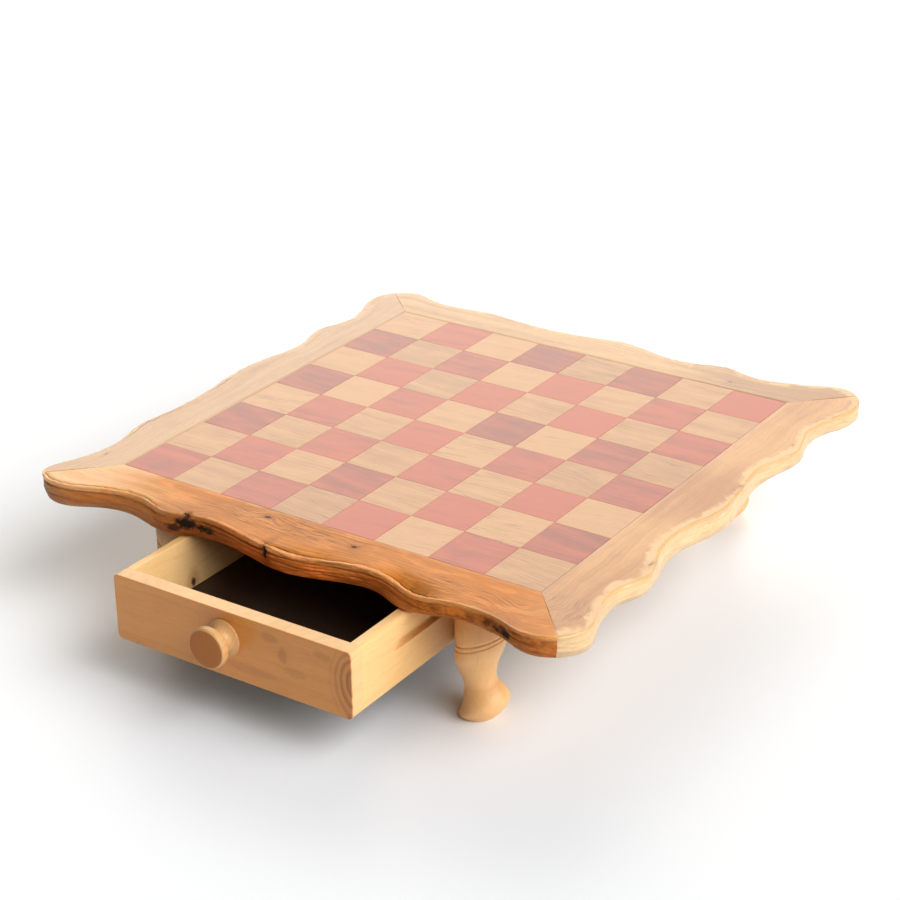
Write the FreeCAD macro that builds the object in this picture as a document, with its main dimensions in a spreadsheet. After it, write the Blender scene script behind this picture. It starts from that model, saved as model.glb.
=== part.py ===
import FreeCAD, Part
import math
import os
import Sketcher
from FreeCAD import Placement, Rotation, Vector

# A low chess table.  A live-edge frame of four mitred boards surrounds an inlaid field of
# sixty-four squares, four carved legs carry it, and one drawer for the chessmen slides in a
# small case under the top.
#
# Frame: the origin is the centre of the playing surface, on its upper face.  +X runs along the
# player's front edge from the a file to the h file, +Y runs away from that player, +Z is up.

doc = FreeCAD.newDocument("chess_table")

# ---------------------------------------------------------------- driving dimensions, in mm
SIZES = [
    ("square_size", 38, "side of one playing square"),
    ("square_count", 8, "squares along one side of the field"),
    ("square_thickness", 6, "thickness of the inlaid squares"),
    ("top_thickness", 16, "thickness of the live-edge boards"),
    ("rabbet_width", 9, "how far the core board reaches under the live-edge boards"),
    ("glue_gap", 0.2, "gap round a piece that is glued into a rabbet or a groove"),
    ("rim_round", 2.4, "how far the upper rim is rounded over"),
    ("underside_setback", 4, "how far the lower rim usually lies inside the widest line of the edge"),
    ("case_height", 42, "height of the drawer case under the top"),
    ("case_length", 280, "length of the case, front to back"),
    ("case_wall", 9, "thickness of the case boards"),
    ("glue_block_leg", 9, "leg of the triangular glue blocks"),
    ("glue_block_length", 30, "length of a glue block"),
    ("glue_block_pitch", 92, "distance from one glue block to the next"),
    ("drawer_width", 170, "outer width of the drawer"),
    ("drawer_height", 42.4, "height of the drawer"),
    ("drawer_back_gap", 1, "gap between the shut drawer and the case's back"),
    ("drawer_front_thickness", 10, "thickness of the drawer front"),
    ("drawer_wall", 7, "thickness of the drawer sides and back"),
    ("drawer_round", 3, "rounding of the drawer's long outer edges"),
    ("drawer_side_gap", 1, "gap between the drawer and each case side"),
    ("drawer_top_gap", 1.2, "gap between the drawer and the top"),
    ("drawer_open", 100, "how far the drawer stands open at rest"),
    ("drawer_travel", 180, "drawer travel from shut to its stop"),
    ("slot_drop", 13, "top of the drawer side to the top of its runner slot"),
    ("slot_height", 6, "height of the runner slot"),
    ("slot_depth", 3.5, "depth of the runner slot"),
    ("slot_start", 53, "drawer's front face to where the runner slot has its full depth"),
    ("slot_ramp", 13, "length over which the runner slot runs out towards the drawer's front"),
    ("runner_gap", 0.4, "gap round the runner in its slot"),
    ("bottom_thickness", 3, "thickness of the drawer bottom"),
    ("bottom_rise", 4, "drawer bottom above the lower edge of the drawer"),
    ("bottom_tongue", 3, "how far the drawer bottom enters its grooves"),
    ("stop_width", 34, "width of the drawer stop"),
    ("stop_thickness", 8, "thickness of the drawer stop, front to back"),
    ("stop_drop", 10, "how far the drawer stop hangs below the top"),
    ("dowel_diameter", 4, "diameter of the drawer dowels"),
    ("dowel_length", 15, "length of the drawer dowels"),
    ("dowel_in_front", 7, "how far a drawer dowel enters the drawer front"),
    ("dowel_inset", 8, "drawer edge to the axis of the nearest dowel"),
    ("fastener_gap", 0.1, "radial gap round dowels, bolts and screws"),
    ("knob_offset", 4, "how far the knob sits to the left of the middle"),
    ("knob_drop", 17.6, "top of the drawer front to the knob's axis"),
    ("knob_length", 16, "how far the knob stands out"),
    ("knob_base_radius", 11.8, "radius of the knob's base"),
    ("knob_neck_radius", 7.6, "radius of the knob's neck"),
    ("knob_disc_radius", 12.6, "radius of the knob's disc"),
    ("knob_disc_thickness", 5.4, "thickness of the knob's disc"),
    ("knob_screw_diameter", 4, "shank diameter of the knob screw"),
    ("knob_screw_reach", 11, "how far the knob screw enters the knob"),
    ("knob_screw_head_radius", 4, "head radius of the knob screw"),
    ("knob_screw_head_height", 2.4, "head height of the knob screw"),
    ("leg_height", 76, "height of a leg"),
    ("leg_inset_x", 41, "side of the field to the leg axis"),
    ("leg_inset_y", 1, "front or back of the field to the leg axis"),
    ("leg_top_radius", 14.8, "radius of a leg where it meets the top"),
    ("leg_barrel_radius", 15.6, "largest radius of the leg's barrel"),
    ("leg_ankle_radius", 9.9, "smallest radius of the leg"),
    ("leg_foot_radius", 16.1, "largest radius of the foot"),
    ("leg_sole_radius", 11.8, "radius of the flat sole"),
    ("leg_kick", 2, "how far the foot is carved outwards"),
    ("leg_lean", 19, "angle by which the carved leg rises to its outer side, in degrees"),
    ("leg_bolt_diameter", 6, "diameter of the double-ended leg bolts"),
    ("leg_bolt_cover", 2, "core left above the end of a leg bolt"),
    ("leg_bolt_in_leg", 18, "how far a leg bolt enters its leg"),
]

sheet = doc.addObject("Spreadsheet::Sheet", "Sizes")
for row, (alias, number_in_cell, note) in enumerate(SIZES, start=1):
    sheet.set(f"A{row}", note)
    sheet.set(f"B{row}", str(number_in_cell))
    sheet.setAlias(f"B{row}", alias)
doc.recompute()

# ------------------------------------------------------- places worked out from those sizes
HALF_FIELD = "(Sizes.square_size * Sizes.square_count / 2)"
UNDERSIDE = "(-Sizes.top_thickness)"
CORE_THICKNESS = "(Sizes.top_thickness - Sizes.square_thickness)"
CORE_HALF = f"({HALF_FIELD} + Sizes.rabbet_width - Sizes.glue_gap)"
CASE_FRONT = "(-Sizes.case_length / 2)"
CASE_INNER_HALF = "(Sizes.drawer_width / 2 + Sizes.drawer_side_gap)"
DRAWER_FRONT = f"({CASE_FRONT} - Sizes.drawer_open)"
DRAWER_TOP = f"({UNDERSIDE} - Sizes.drawer_top_gap)"
DRAWER_LOW = f"({DRAWER_TOP} - Sizes.drawer_height)"
DRAWER_LENGTH = "(Sizes.case_length - Sizes.case_wall - Sizes.drawer_back_gap)"
DRAWER_INNER_WIDTH = "(Sizes.drawer_width - 2 * Sizes.drawer_wall)"
SIDE_LENGTH = f"({DRAWER_LENGTH} - Sizes.drawer_front_thickness)"
SLOT_LOW = "(Sizes.drawer_height - Sizes.slot_drop - Sizes.slot_height)"
GROOVE_DEPTH = "(Sizes.bottom_tongue + Sizes.glue_gap)"
GROOVE_LOW = "(Sizes.bottom_rise - Sizes.glue_gap)"
GROOVE_HEIGHT = "(Sizes.bottom_thickness + 2 * Sizes.glue_gap)"
DOWEL_HOLE = "(Sizes.dowel_diameter + 2 * Sizes.fastener_gap)"
KNOB_BORE = "(Sizes.knob_screw_diameter + 2 * Sizes.fastener_gap)"
LEG_BORE = "(Sizes.leg_bolt_diameter + 2 * Sizes.fastener_gap)"
BOLT_IN_TOP = f"({CORE_THICKNESS} - Sizes.leg_bolt_cover)"
KNOB_HEIGHT = "(Sizes.drawer_height - Sizes.knob_drop)"
LEG_X = f"({HALF_FIELD} - Sizes.leg_inset_x)"
LEG_Y = f"({HALF_FIELD} - Sizes.leg_inset_y)"


def number(expression):
    """The value of an expression over the sheet's cells."""
    return float(sheet.evalExpression(expression))


# --------------------------------------------------------------------- drawing and features
pieces = []
removals = []


def bind(target, **expressions):
    """Bind properties of an object to expressions; a double underscore stands for a dot."""
    for name, expression in expressions.items():
        target.setExpression(name.replace("__", "."), expression)


def place(piece, x="0", y="0", z="0"):
    bind(piece, Placement__Base__x=x, Placement__Base__y=y, Placement__Base__z=z)


def new_body(label):
    body = doc.addObject("PartDesign::Body", label)
    body.Label = label
    pieces.append(body)
    return body


def new_sketch(body, name, plane, offset="0"):
    """A sketch on one of the body's own origin planes, moved along that plane's normal."""
    sketch = body.newObject("Sketcher::SketchObject", name)
    support = [feature for feature in body.Origin.OriginFeatures if feature.Role == plane][0]
    sketch.AttachmentSupport = [(support, "")]
    sketch.MapMode = "FlatFace"
    bind(sketch, AttachmentOffset__Base__z=offset)
    return sketch


def pin_point(sketch, edge, end, x, y):
    """Hold one end of an edge at (x, y), both given as expressions."""
    horizontal_axis, vertical_axis = -1, -2
    for kind, expression, axis in (("DistanceX", x, vertical_axis), ("DistanceY", y, horizontal_axis)):
        if expression == "0":
            sketch.addConstraint(Sketcher.Constraint("PointOnObject", edge, end, axis))
            continue
        rule = Sketcher.Constraint(kind, -1, 1, edge, end, number(expression))
        index = sketch.addConstraint(rule)
        sketch.setExpression(f"Constraints[{index}]", expression)


def draw_outline(sketch, corners, bends=None):
    """A closed outline through corners of (x, y) expressions.

    bends gives, for the edge that leaves a corner, the radius of its arc: positive where the
    arc turns to the left of its chord, negative where it turns to the right.
    """
    bends = bends or {}
    points = [Vector(number(x), number(y), 0) for x, y in corners]
    ends = {}
    for index, start in enumerate(points):
        stop = points[(index + 1) % len(points)]
        if index not in bends:
            sketch.addGeometry(Part.LineSegment(start, stop), False)
            ends[index] = (1, 2)
            continue
        bulge_left, radius_expression = bends[index]
        radius = number(radius_expression)
        chord = stop - start
        sagitta = radius - math.sqrt(radius**2 - (chord.Length / 2) ** 2)
        aside = Vector(-chord.y, chord.x, 0).normalize() * (sagitta if bulge_left else -sagitta)
        arc = Part.Arc(start, start + chord / 2 + aside, stop)
        edge = sketch.addGeometry(arc, False)
        turned = sketch.Geometry[edge].StartPoint.distanceToPoint(start) > 1e-6
        ends[index] = (2, 1) if turned else (1, 2)
        rule = sketch.addConstraint(Sketcher.Constraint("Radius", edge, radius))
        sketch.setExpression(f"Constraints[{rule}]", radius_expression)
    for index in range(len(points)):
        after = (index + 1) % len(points)
        joint = Sketcher.Constraint("Coincident", index, ends[index][1], after, ends[after][0])
        sketch.addConstraint(joint)
        pin_point(sketch, index, ends[index][0], *corners[index])


def draw_rectangle(sketch, width, height, left="0", low="0"):
    right = width if left == "0" else f"{left} + {width}"
    high = height if low == "0" else f"{low} + {height}"
    draw_outline(sketch, [(left, low), (right, low), (right, high), (left, high)])


def draw_circle(sketch, radius, x="0", y="0"):
    middle = Vector(number(x), number(y), 0)
    edge = sketch.addGeometry(Part.Circle(middle, Vector(0, 0, 1), number(radius)), False)
    rule = sketch.addConstraint(Sketcher.Constraint("Radius", edge, number(radius)))
    sketch.setExpression(f"Constraints[{rule}]", radius)
    pin_point(sketch, edge, 3, x, y)


def pad(body, sketch, length):
    feature = body.newObject("PartDesign::Pad", f"{sketch.Name}_pad")
    feature.Profile = sketch
    bind(feature, Length=length)
    sketch.Visibility = False
    return feature


def pocket(body, sketch, depth, along_normal=False):
    """Cut a sketch into the body, against the plane's normal or along it."""
    feature = body.newObject("PartDesign::Pocket", f"{sketch.Name}_pocket")
    feature.Profile = sketch
    feature.Reversed = along_normal
    bind(feature, Length=depth)
    removals.append(feature)
    return feature


def board(label, width, length, height, x, y, z):
    """A board drawn from its low, left, front corner, which lies at (x, y, z)."""
    body = new_body(label)
    outline = new_sketch(body, f"{label}_outline", "XY_Plane")
    draw_rectangle(outline, width, length)
    pad(body, outline, height)
    place(body, x, y, z)
    return body


def round_edges(body, radius, wanted):
    """Fillet the edges of the body so far for which wanted(middle of the edge) is true."""
    doc.recompute()
    base = body.Tip
    names = []
    for index, edge in enumerate(base.Shape.Edges, start=1):
        middle = edge.valueAt((edge.FirstParameter + edge.LastParameter) / 2)
        if wanted(middle):
            names.append(f"Edge{index}")
    fillet = body.newObject("PartDesign::Fillet", f"{body.Name}_round")
    fillet.Base = (base, names)
    bind(fillet, Radius=radius)
    removals.append(fillet)
    return fillet


def group(label, members):
    """Separate solids of one kind, kept together under one name."""
    compound = doc.addObject("Part::Compound", label)
    compound.Label = label
    compound.Links = members
    pieces.append(compound)
    return compound


# ------------------------------------------------------------------------- live-edge frame
# The edge wanders in and out as the outside of the tree did.  Each side is a row of stations
# (share of the half field along the side, width of the frame there in mm, share of
# underside_setback there), and the four rows follow each other anticlockwise, seen from above,
# from the front left corner.
FRONT_STATIONS = [
    (-1.19, 41.5, 0.7), (-1.09, 42.5, 0.8), (-0.96, 36.5, 1.45), (-0.81, 30.2, 0.6),
    (-0.69, 33.5, 0.2), (-0.60, 37, 0.75), (-0.46, 32, 0.9), (-0.26, 33.5, 1.0),
    (0.00, 39.5, 0.65), (0.20, 33, 0.8), (0.37, 29.6, 0.8), (0.54, 33.3, -0.5),
    (0.66, 37.2, 1.4), (0.78, 36.6, 2.4), (0.90, 36.6, 1.8), (0.99, 39.4, 1.35),
    (1.10, 44, 1.3),
]
RIGHT_STATIONS = [
    (-1.16, 43, 1.0), (-1.05, 40.5, 0.5), (-0.93, 35, 0.85), (-0.82, 35, 1.75),
    (-0.69, 41, 1.6), (-0.54, 34.5, 0.15), (-0.38, 29.5, 0.35), (-0.22, 32.5, 0.6),
    (-0.03, 38, 0.4), (0.14, 35, 0.4), (0.35, 30.5, 0.8), (0.48, 35, 1.8), (0.59, 39.9, 2.0),
    (0.68, 36.8, 0.7), (0.78, 32.5, 0.8), (0.88, 34.5, 2.3), (0.99, 39, 2.7), (1.10, 43, 2.4),
]
BACK_STATIONS = [
    (-1.16, 42.5, 1.4), (-1.04, 38.5, 1.0), (-0.90, 30.5, 0.9), (-0.80, 27.5, 0.9),
    (-0.70, 30, 1.1), (-0.61, 33.5, 1.2), (-0.51, 30, 0.9), (-0.40, 27, 0.8), (-0.26, 29, 1.0),
    (-0.06, 35, 1.3), (0.10, 31, 1.0), (0.30, 28, 0.8), (0.50, 30, 0.9), (0.68, 32.5, 1.2),
    (0.84, 29.5, 0.9), (0.98, 32, 1.0), (1.10, 36.5, 1.3),
]
LEFT_STATIONS = [
    (-1.08, 37.5, 1.2), (-0.98, 34, 1.0), (-0.87, 28, 0.8), (-0.79, 26, 0.8), (-0.70, 30, 1.0),
    (-0.60, 34.5, 1.2), (-0.48, 30, 0.9), (-0.38, 28.5, 0.8), (-0.24, 31.5, 1.0),
    (-0.06, 35.5, 1.3), (0.14, 33, 1.1), (0.36, 30.5, 0.8), (0.54, 32, 0.9), (0.66, 33.5, 1.1),
    (0.80, 29, 0.8), (0.92, 28.2, 0.7), (1.04, 32.5, 0.8), (1.13, 37.3, 0.9), (1.19, 40.3, 0.8),
]
# The mitre at each corner runs from the field's corner to the tip of the corner's lobe.
CORNER_TIPS = {
    "front_left": (-1.22, -1.22),
    "front_right": (1.22, -1.25),
    "back_right": (1.22, 1.22),
    "back_left": (-1.20, 1.19),
}
# Section of the edge: (share of the thickness below the upper face, share of rim_round and
# share of underside_setback by which the outline is drawn in there).
EDGE_LEVELS = [(0.0, 1.0, 0.0), (0.05, 0.4, 0.0), (0.2, 0.0, 0.0), (0.6, 0.0, 0.1), (1.0, 0.0, 1.0)]

half_field = number(HALF_FIELD)
top_thickness = number("Sizes.top_thickness")
square_thickness = number("Sizes.square_thickness")
rabbet_width = number("Sizes.rabbet_width")
rim_round = number("Sizes.rim_round")
underside_setback = number("Sizes.underside_setback")


def edge_points(rim_share, setback_share):
    """The stations of all four sides as points round the table, drawn in at one level."""
    sides = [FRONT_STATIONS, RIGHT_STATIONS, BACK_STATIONS, LEFT_STATIONS]
    widest = []
    for quarter_turns, stations in enumerate(sides):
        turn = Rotation(Vector(0, 0, 1), 90 * quarter_turns)
        for share, width, undercut in stations:
            point = turn.multVec(Vector(share * half_field, -half_field - width, 0))
            widest.append((point, undercut))
    points = []
    for index, (point, undercut) in enumerate(widest):
        before = widest[index - 1][0]
        after = widest[(index + 1) % len(widest)][0]
        ahead = (after - before).normalize()
        inward = Vector(-ahead.y, ahead.x, 0)
        drawn_in = rim_round * rim_share + underside_setback * setback_share * undercut
        points.append(point + inward * drawn_in)
    return points


def edge_wire(depth_share, rim_share, setback_share):
    curve = Part.BSplineCurve()
    curve.interpolate(Points=edge_points(rim_share, setback_share), PeriodicFlag=True)
    curve.translate(Vector(0, 0, -top_thickness * depth_share))
    return Part.Wire(curve.toShape())


def upright_prism(corners, low, high):
    """A prism over a polygon of (x, y) corners between two heights."""
    ring = [Vector(x, y, low) for x, y in corners]
    return Part.Face(Part.makePolygon(ring + ring[:1])).extrude(Vector(0, 0, high - low))


def square_prism(half, low, high):
    return upright_prism([(-half, -half), (half, -half), (half, half), (-half, half)], low, high)


live_edge_slab = Part.makeLoft([edge_wire(*level) for level in EDGE_LEVELS], True, True, False)
field_opening = square_prism(half_field, -2 * top_thickness, top_thickness)
rabbet = square_prism(half_field + rabbet_width, -2 * top_thickness, -square_thickness)
frame_ring = live_edge_slab.cut(field_opening).cut(rabbet)

MITRE_REACH = 3  # the cutting wedge runs this many times past the tip of the lobe


def mitre_end(corner):
    """The field's corner and a point on the mitre line well outside the frame."""
    tip = Vector(*CORNER_TIPS[corner], 0) * half_field
    inner = Vector(math.copysign(half_field, tip.x), math.copysign(half_field, tip.y), 0)
    outer = inner + (tip - inner) * MITRE_REACH
    return (inner.x, inner.y), (outer.x, outer.y)


for side, first_corner, second_corner in [
    ("front", "front_left", "front_right"),
    ("right", "front_right", "back_right"),
    ("back", "back_right", "back_left"),
    ("left", "back_left", "front_left"),
]:
    inner_first, outer_first = mitre_end(first_corner)
    inner_second, outer_second = mitre_end(second_corner)
    outline = [inner_first, outer_first, outer_second, inner_second]
    wedge = upright_prism(outline, -2 * top_thickness, top_thickness)
    live_edge_board = doc.addObject("Part::Feature", f"live_edge_{side}")
    live_edge_board.Label = f"live_edge_{side}"
    live_edge_board.Shape = frame_ring.common(wedge).Solids[0]
    pieces.append(live_edge_board)

# ------------------------------------------------------------------------------ core board
# A plywood panel lies in the frame's rabbet and carries the squares.
core = board(
    "core_board",
    f"2 * {CORE_HALF}", f"2 * {CORE_HALF}", CORE_THICKNESS,
    f"-{CORE_HALF}", f"-{CORE_HALF}", UNDERSIDE,
)
leg_corners = [(-1, -1, "front_left"), (1, -1, "front_right"), (-1, 1, "back_left"), (1, 1, "back_right")]
bolt_bores = new_sketch(core, "leg_bolt_bores", "XY_Plane")
for side_x, side_y, corner in leg_corners:
    draw_circle(
        bolt_bores,
        f"{LEG_BORE} / 2",
        f"{CORE_HALF} + {side_x} * {LEG_X}",
        f"{CORE_HALF} + {side_y} * {LEG_Y}",
    )
pocket(core, bolt_bores, f"{BOLT_IN_TOP} + Sizes.fastener_gap", along_normal=True)

# --------------------------------------------------------------------------- inlaid squares
# Rank by rank: four dark and four light blocks, glued edge to edge on the core.
square_count = int(number("Sizes.square_count"))
for rank in range(square_count):
    ranks = {"dark": [], "light": []}
    for file_index in range(square_count):
        colour = "dark" if (rank + file_index) % 2 == 0 else "light"
        block = doc.addObject("Part::Box", f"{colour}_{rank + 1}_{file_index + 1}")
        bind(block, Length="Sizes.square_size", Width="Sizes.square_size", Height="Sizes.square_thickness")
        place(
            block,
            f"{file_index} * Sizes.square_size - {HALF_FIELD}",
            f"{rank} * Sizes.square_size - {HALF_FIELD}",
            "-Sizes.square_thickness",
        )
        ranks[colour].append(block)
    for colour, blocks in ranks.items():
        group(f"{colour}_squares_rank_{rank + 1}", blocks)

# ------------------------------------------------------------------------------ drawer case
# Two sides and a back hang from the underside; hardwood runners on the sides carry the drawer.
for side, x in (("left", f"-{CASE_INNER_HALF} - Sizes.case_wall"), ("right", CASE_INNER_HALF)):
    board(
        f"case_{side}_side",
        "Sizes.case_wall", "Sizes.case_length", "Sizes.case_height",
        x, CASE_FRONT, f"{UNDERSIDE} - Sizes.case_height",
    )
board(
    "case_back",
    f"2 * {CASE_INNER_HALF}", "Sizes.case_wall", "Sizes.case_height",
    f"-{CASE_INNER_HALF}",
    f"{CASE_FRONT} + Sizes.case_length - Sizes.case_wall",
    f"{UNDERSIDE} - Sizes.case_height",
)

RUNNER_WIDTH = "(Sizes.slot_depth - Sizes.runner_gap + Sizes.drawer_side_gap)"
RUNNER_START = f"({CASE_FRONT} + Sizes.slot_start + Sizes.runner_gap)"
RUNNER_LENGTH = "(Sizes.case_length - Sizes.case_wall - Sizes.slot_start - 2 * Sizes.runner_gap)"
for side, x in (("left", f"-{CASE_INNER_HALF}"), ("right", f"{CASE_INNER_HALF} - {RUNNER_WIDTH}")):
    board(
        f"drawer_runner_{side}",
        RUNNER_WIDTH, RUNNER_LENGTH, "Sizes.slot_height - 2 * Sizes.runner_gap",
        x, RUNNER_START, f"{DRAWER_LOW} + {SLOT_LOW} + Sizes.runner_gap",
    )

# The stop hangs into the open top of the drawer and catches its back when it is pulled out.
BACK_INNER_SHUT = f"({CASE_FRONT} + {DRAWER_LENGTH} - Sizes.drawer_wall)"
board(
    "drawer_stop",
    "Sizes.stop_width", "Sizes.stop_thickness", "Sizes.stop_drop",
    "-Sizes.stop_width / 2",
    f"{BACK_INNER_SHUT} - Sizes.drawer_travel - Sizes.runner_gap - Sizes.stop_thickness",
    f"{UNDERSIDE} - Sizes.stop_drop",
)

# Triangular glue blocks tie the case sides to the underside of the top.
blocks = []
for side_name, side in (("left", -1), ("right", 1)):
    for step in (-1, 0, 1):
        block = doc.addObject("Part::Wedge", f"glue_block_{side_name}_{step + 2}")
        for name in ("Xmin", "Ymin", "Zmin", "X2min", "X2max", "Z2min"):
            setattr(block, name, 0)
        bind(
            block,
            Xmax="Sizes.glue_block_leg", Ymax="Sizes.glue_block_leg",
            Zmax="Sizes.glue_block_length", Z2max="Sizes.glue_block_length",
        )
        # the triangle's two legs lie along the case side and under the top
        facing = Rotation(Vector(0, 0, 1), 0 if side == 1 else 180)
        block.Placement.Rotation = facing.multiply(Rotation(Vector(1, 0, 0), -90))
        place(
            block,
            f"{side} * ({CASE_INNER_HALF} + Sizes.case_wall)",
            f"{step} * Sizes.glue_block_pitch - {side} * Sizes.glue_block_length / 2",
            UNDERSIDE,
        )
        blocks.append(block)
group("glue_blocks", blocks)

# ---------------------------------------------------------------------------------- drawer
# Solid boards, dowelled at the front, with a thin bottom in grooves.
front = new_body("drawer_front")
front_outline = new_sketch(front, "drawer_front_outline", "XZ_Plane")
draw_rectangle(front_outline, "Sizes.drawer_width", "Sizes.drawer_height")
front_pad = pad(front, front_outline, "Sizes.drawer_front_thickness")
front_pad.Reversed = True
front_half_thickness = number("Sizes.drawer_front_thickness") / 2
front_width = number("Sizes.drawer_width")
front_height = number("Sizes.drawer_height")
round_edges(
    front,
    "Sizes.drawer_round",
    lambda middle: abs(middle.y - front_half_thickness) < 1e-6
    and min(abs(middle.x), abs(middle.x - front_width)) < 1e-6
    and min(abs(middle.z), abs(middle.z - front_height)) < 1e-6,
)
front_groove = new_sketch(front, "drawer_front_groove", "XZ_Plane", "-Sizes.drawer_front_thickness")
draw_rectangle(
    front_groove,
    f"{DRAWER_INNER_WIDTH} + 2 * {GROOVE_DEPTH}",
    GROOVE_HEIGHT,
    f"Sizes.drawer_wall - {GROOVE_DEPTH}",
    GROOVE_LOW,
)
pocket(front, front_groove, GROOVE_DEPTH, along_normal=True)
DOWEL_HEIGHTS = ["(Sizes.dowel_inset + Sizes.bottom_rise)", "(Sizes.drawer_height - Sizes.dowel_inset)"]
front_bores = new_sketch(front, "drawer_front_bores", "XZ_Plane", "-Sizes.drawer_front_thickness")
for x in ("Sizes.drawer_wall / 2", "(Sizes.drawer_width - Sizes.drawer_wall / 2)"):
    for height in DOWEL_HEIGHTS:
        draw_circle(front_bores, f"{DOWEL_HOLE} / 2", x, height)
pocket(front, front_bores, "Sizes.dowel_in_front + Sizes.fastener_gap", along_normal=True)
knob_bore = new_sketch(front, "knob_screw_bore", "XZ_Plane", "-Sizes.drawer_front_thickness")
draw_circle(knob_bore, f"{KNOB_BORE} / 2", "Sizes.drawer_width / 2 - Sizes.knob_offset", KNOB_HEIGHT)
pocket(front, knob_bore, "Sizes.drawer_front_thickness", along_normal=True)
place(front, "-Sizes.drawer_width / 2", DRAWER_FRONT, DRAWER_LOW)

side_width = number("Sizes.drawer_wall")
for side, x, outer_x in (("left", "-Sizes.drawer_width / 2", 0.0), ("right", "", side_width)):
    is_left = side == "left"
    body = board(
        f"drawer_{side}_side",
        "Sizes.drawer_wall", SIDE_LENGTH, "Sizes.drawer_height",
        x if is_left else "Sizes.drawer_width / 2 - Sizes.drawer_wall",
        f"{DRAWER_FRONT} + Sizes.drawer_front_thickness",
        DRAWER_LOW,
    )
    half_length = number(SIDE_LENGTH) / 2
    round_edges(
        body,
        "Sizes.drawer_round",
        lambda middle: abs(middle.y - half_length) < 1e-6 and abs(middle.x - outer_x) < 1e-6,
    )
    # the slot for the runner is open at the back and runs out on a ramp near the front
    slot = new_sketch(body, f"{side}_runner_slot", "XY_Plane", SLOT_LOW)
    face_x = "0" if is_left else "Sizes.drawer_wall"
    floor_x = "Sizes.slot_depth" if is_left else "Sizes.drawer_wall - Sizes.slot_depth"
    slot_from = "Sizes.slot_start - Sizes.drawer_front_thickness"
    slot_corners = [
        (face_x, f"{slot_from} - Sizes.slot_ramp"),
        (face_x, SIDE_LENGTH),
        (floor_x, SIDE_LENGTH),
        (floor_x, slot_from),
    ]
    draw_outline(slot, slot_corners)
    pocket(body, slot, "Sizes.slot_height", along_normal=True)
    groove = new_sketch(
        body, f"{side}_bottom_groove", "YZ_Plane", "Sizes.drawer_wall" if is_left else "0"
    )
    draw_rectangle(groove, SIDE_LENGTH, GROOVE_HEIGHT, "0", GROOVE_LOW)
    pocket(body, groove, GROOVE_DEPTH, along_normal=not is_left)
    bores = new_sketch(body, f"{side}_dowel_bores", "XZ_Plane")
    for height in DOWEL_HEIGHTS:
        draw_circle(bores, f"{DOWEL_HOLE} / 2", "Sizes.drawer_wall / 2", height)
    in_side = "Sizes.dowel_length - Sizes.dowel_in_front + Sizes.fastener_gap"
    pocket(body, bores, in_side)

BACK_RISE = "(Sizes.bottom_rise + Sizes.bottom_thickness + Sizes.glue_gap)"
board(
    "drawer_back",
    DRAWER_INNER_WIDTH, "Sizes.drawer_wall", f"Sizes.drawer_height - {BACK_RISE}",
    f"-{DRAWER_INNER_WIDTH} / 2",
    f"{DRAWER_FRONT} + {DRAWER_LENGTH} - Sizes.drawer_wall",
    f"{DRAWER_LOW} + {BACK_RISE}",
)
board(
    "drawer_bottom",
    f"{DRAWER_INNER_WIDTH} + 2 * Sizes.bottom_tongue",
    f"{SIDE_LENGTH} + Sizes.bottom_tongue",
    "Sizes.bottom_thickness",
    f"-{DRAWER_INNER_WIDTH} / 2 - Sizes.bottom_tongue",
    f"{DRAWER_FRONT} + Sizes.drawer_front_thickness - Sizes.bottom_tongue",
    f"{DRAWER_LOW} + Sizes.bottom_rise",
)

# Wooden dowels hold the drawer front to its sides.
dowels = []
for side_name, side in (("left", -1), ("right", 1)):
    for level, height in enumerate(DOWEL_HEIGHTS):
        dowel = doc.addObject("Part::Cylinder", f"drawer_dowel_{side_name}_{level + 1}")
        dowel.Placement.Rotation = Rotation(Vector(1, 0, 0), -90)
        bind(dowel, Radius="Sizes.dowel_diameter / 2", Height="Sizes.dowel_length")
        place(
            dowel,
            f"{side} * (Sizes.drawer_width - Sizes.drawer_wall) / 2",
            f"{DRAWER_FRONT} + Sizes.drawer_front_thickness - Sizes.dowel_in_front",
            f"{DRAWER_LOW} + {height}",
        )
        dowels.append(dowel)
group("drawer_dowels", dowels)

# ------------------------------------------------------------------------------------ knob
# Turned in one piece: a thin flared base, a hollow neck and a thick disc with rounded rims.
knob = new_body("drawer_knob")
half_section = new_sketch(knob, "knob_half_section", "XY_Plane")
KNOB_FOOT = "(0.08 * Sizes.knob_length)"
DISC_BACK = "(Sizes.knob_length - Sizes.knob_disc_thickness)"
BORE_RADIUS = f"({KNOB_BORE} / 2)"
BORE_END = "(Sizes.knob_screw_reach + Sizes.fastener_gap)"
COVE = f"(0.62 * {DISC_BACK})"
draw_outline(
    half_section,
    [
        (BORE_RADIUS, "0"),
        ("Sizes.knob_base_radius", "0"),
        ("Sizes.knob_base_radius", f"-{KNOB_FOOT}"),
        ("Sizes.knob_neck_radius", f"-{COVE}"),
        ("Sizes.knob_disc_radius", f"-{DISC_BACK}"),
        ("Sizes.knob_disc_radius", "-Sizes.knob_length"),
        ("0", "-Sizes.knob_length"),
        ("0", f"-{BORE_END}"),
        (BORE_RADIUS, f"-{BORE_END}"),
    ],
    bends={2: (False, f"1.1 * {COVE}"), 3: (False, f"1.1 * {COVE}")},
)
turning = knob.newObject("PartDesign::Revolution", "knob_turning")
turning.Profile = half_section
turning.ReferenceAxis = (half_section, ["V_Axis"])
turning.Angle = 360
half_section.Visibility = False
disc_radius = number("Sizes.knob_disc_radius")
round_edges(
    knob,
    "0.3 * Sizes.knob_disc_thickness",
    lambda middle: abs(math.hypot(middle.x, middle.z) - disc_radius) < 1e-6,
)
KNOB_X = "(-Sizes.knob_offset)"
KNOB_Z = f"({DRAWER_LOW} + {KNOB_HEIGHT})"
place(knob, KNOB_X, DRAWER_FRONT, KNOB_Z)

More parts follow.
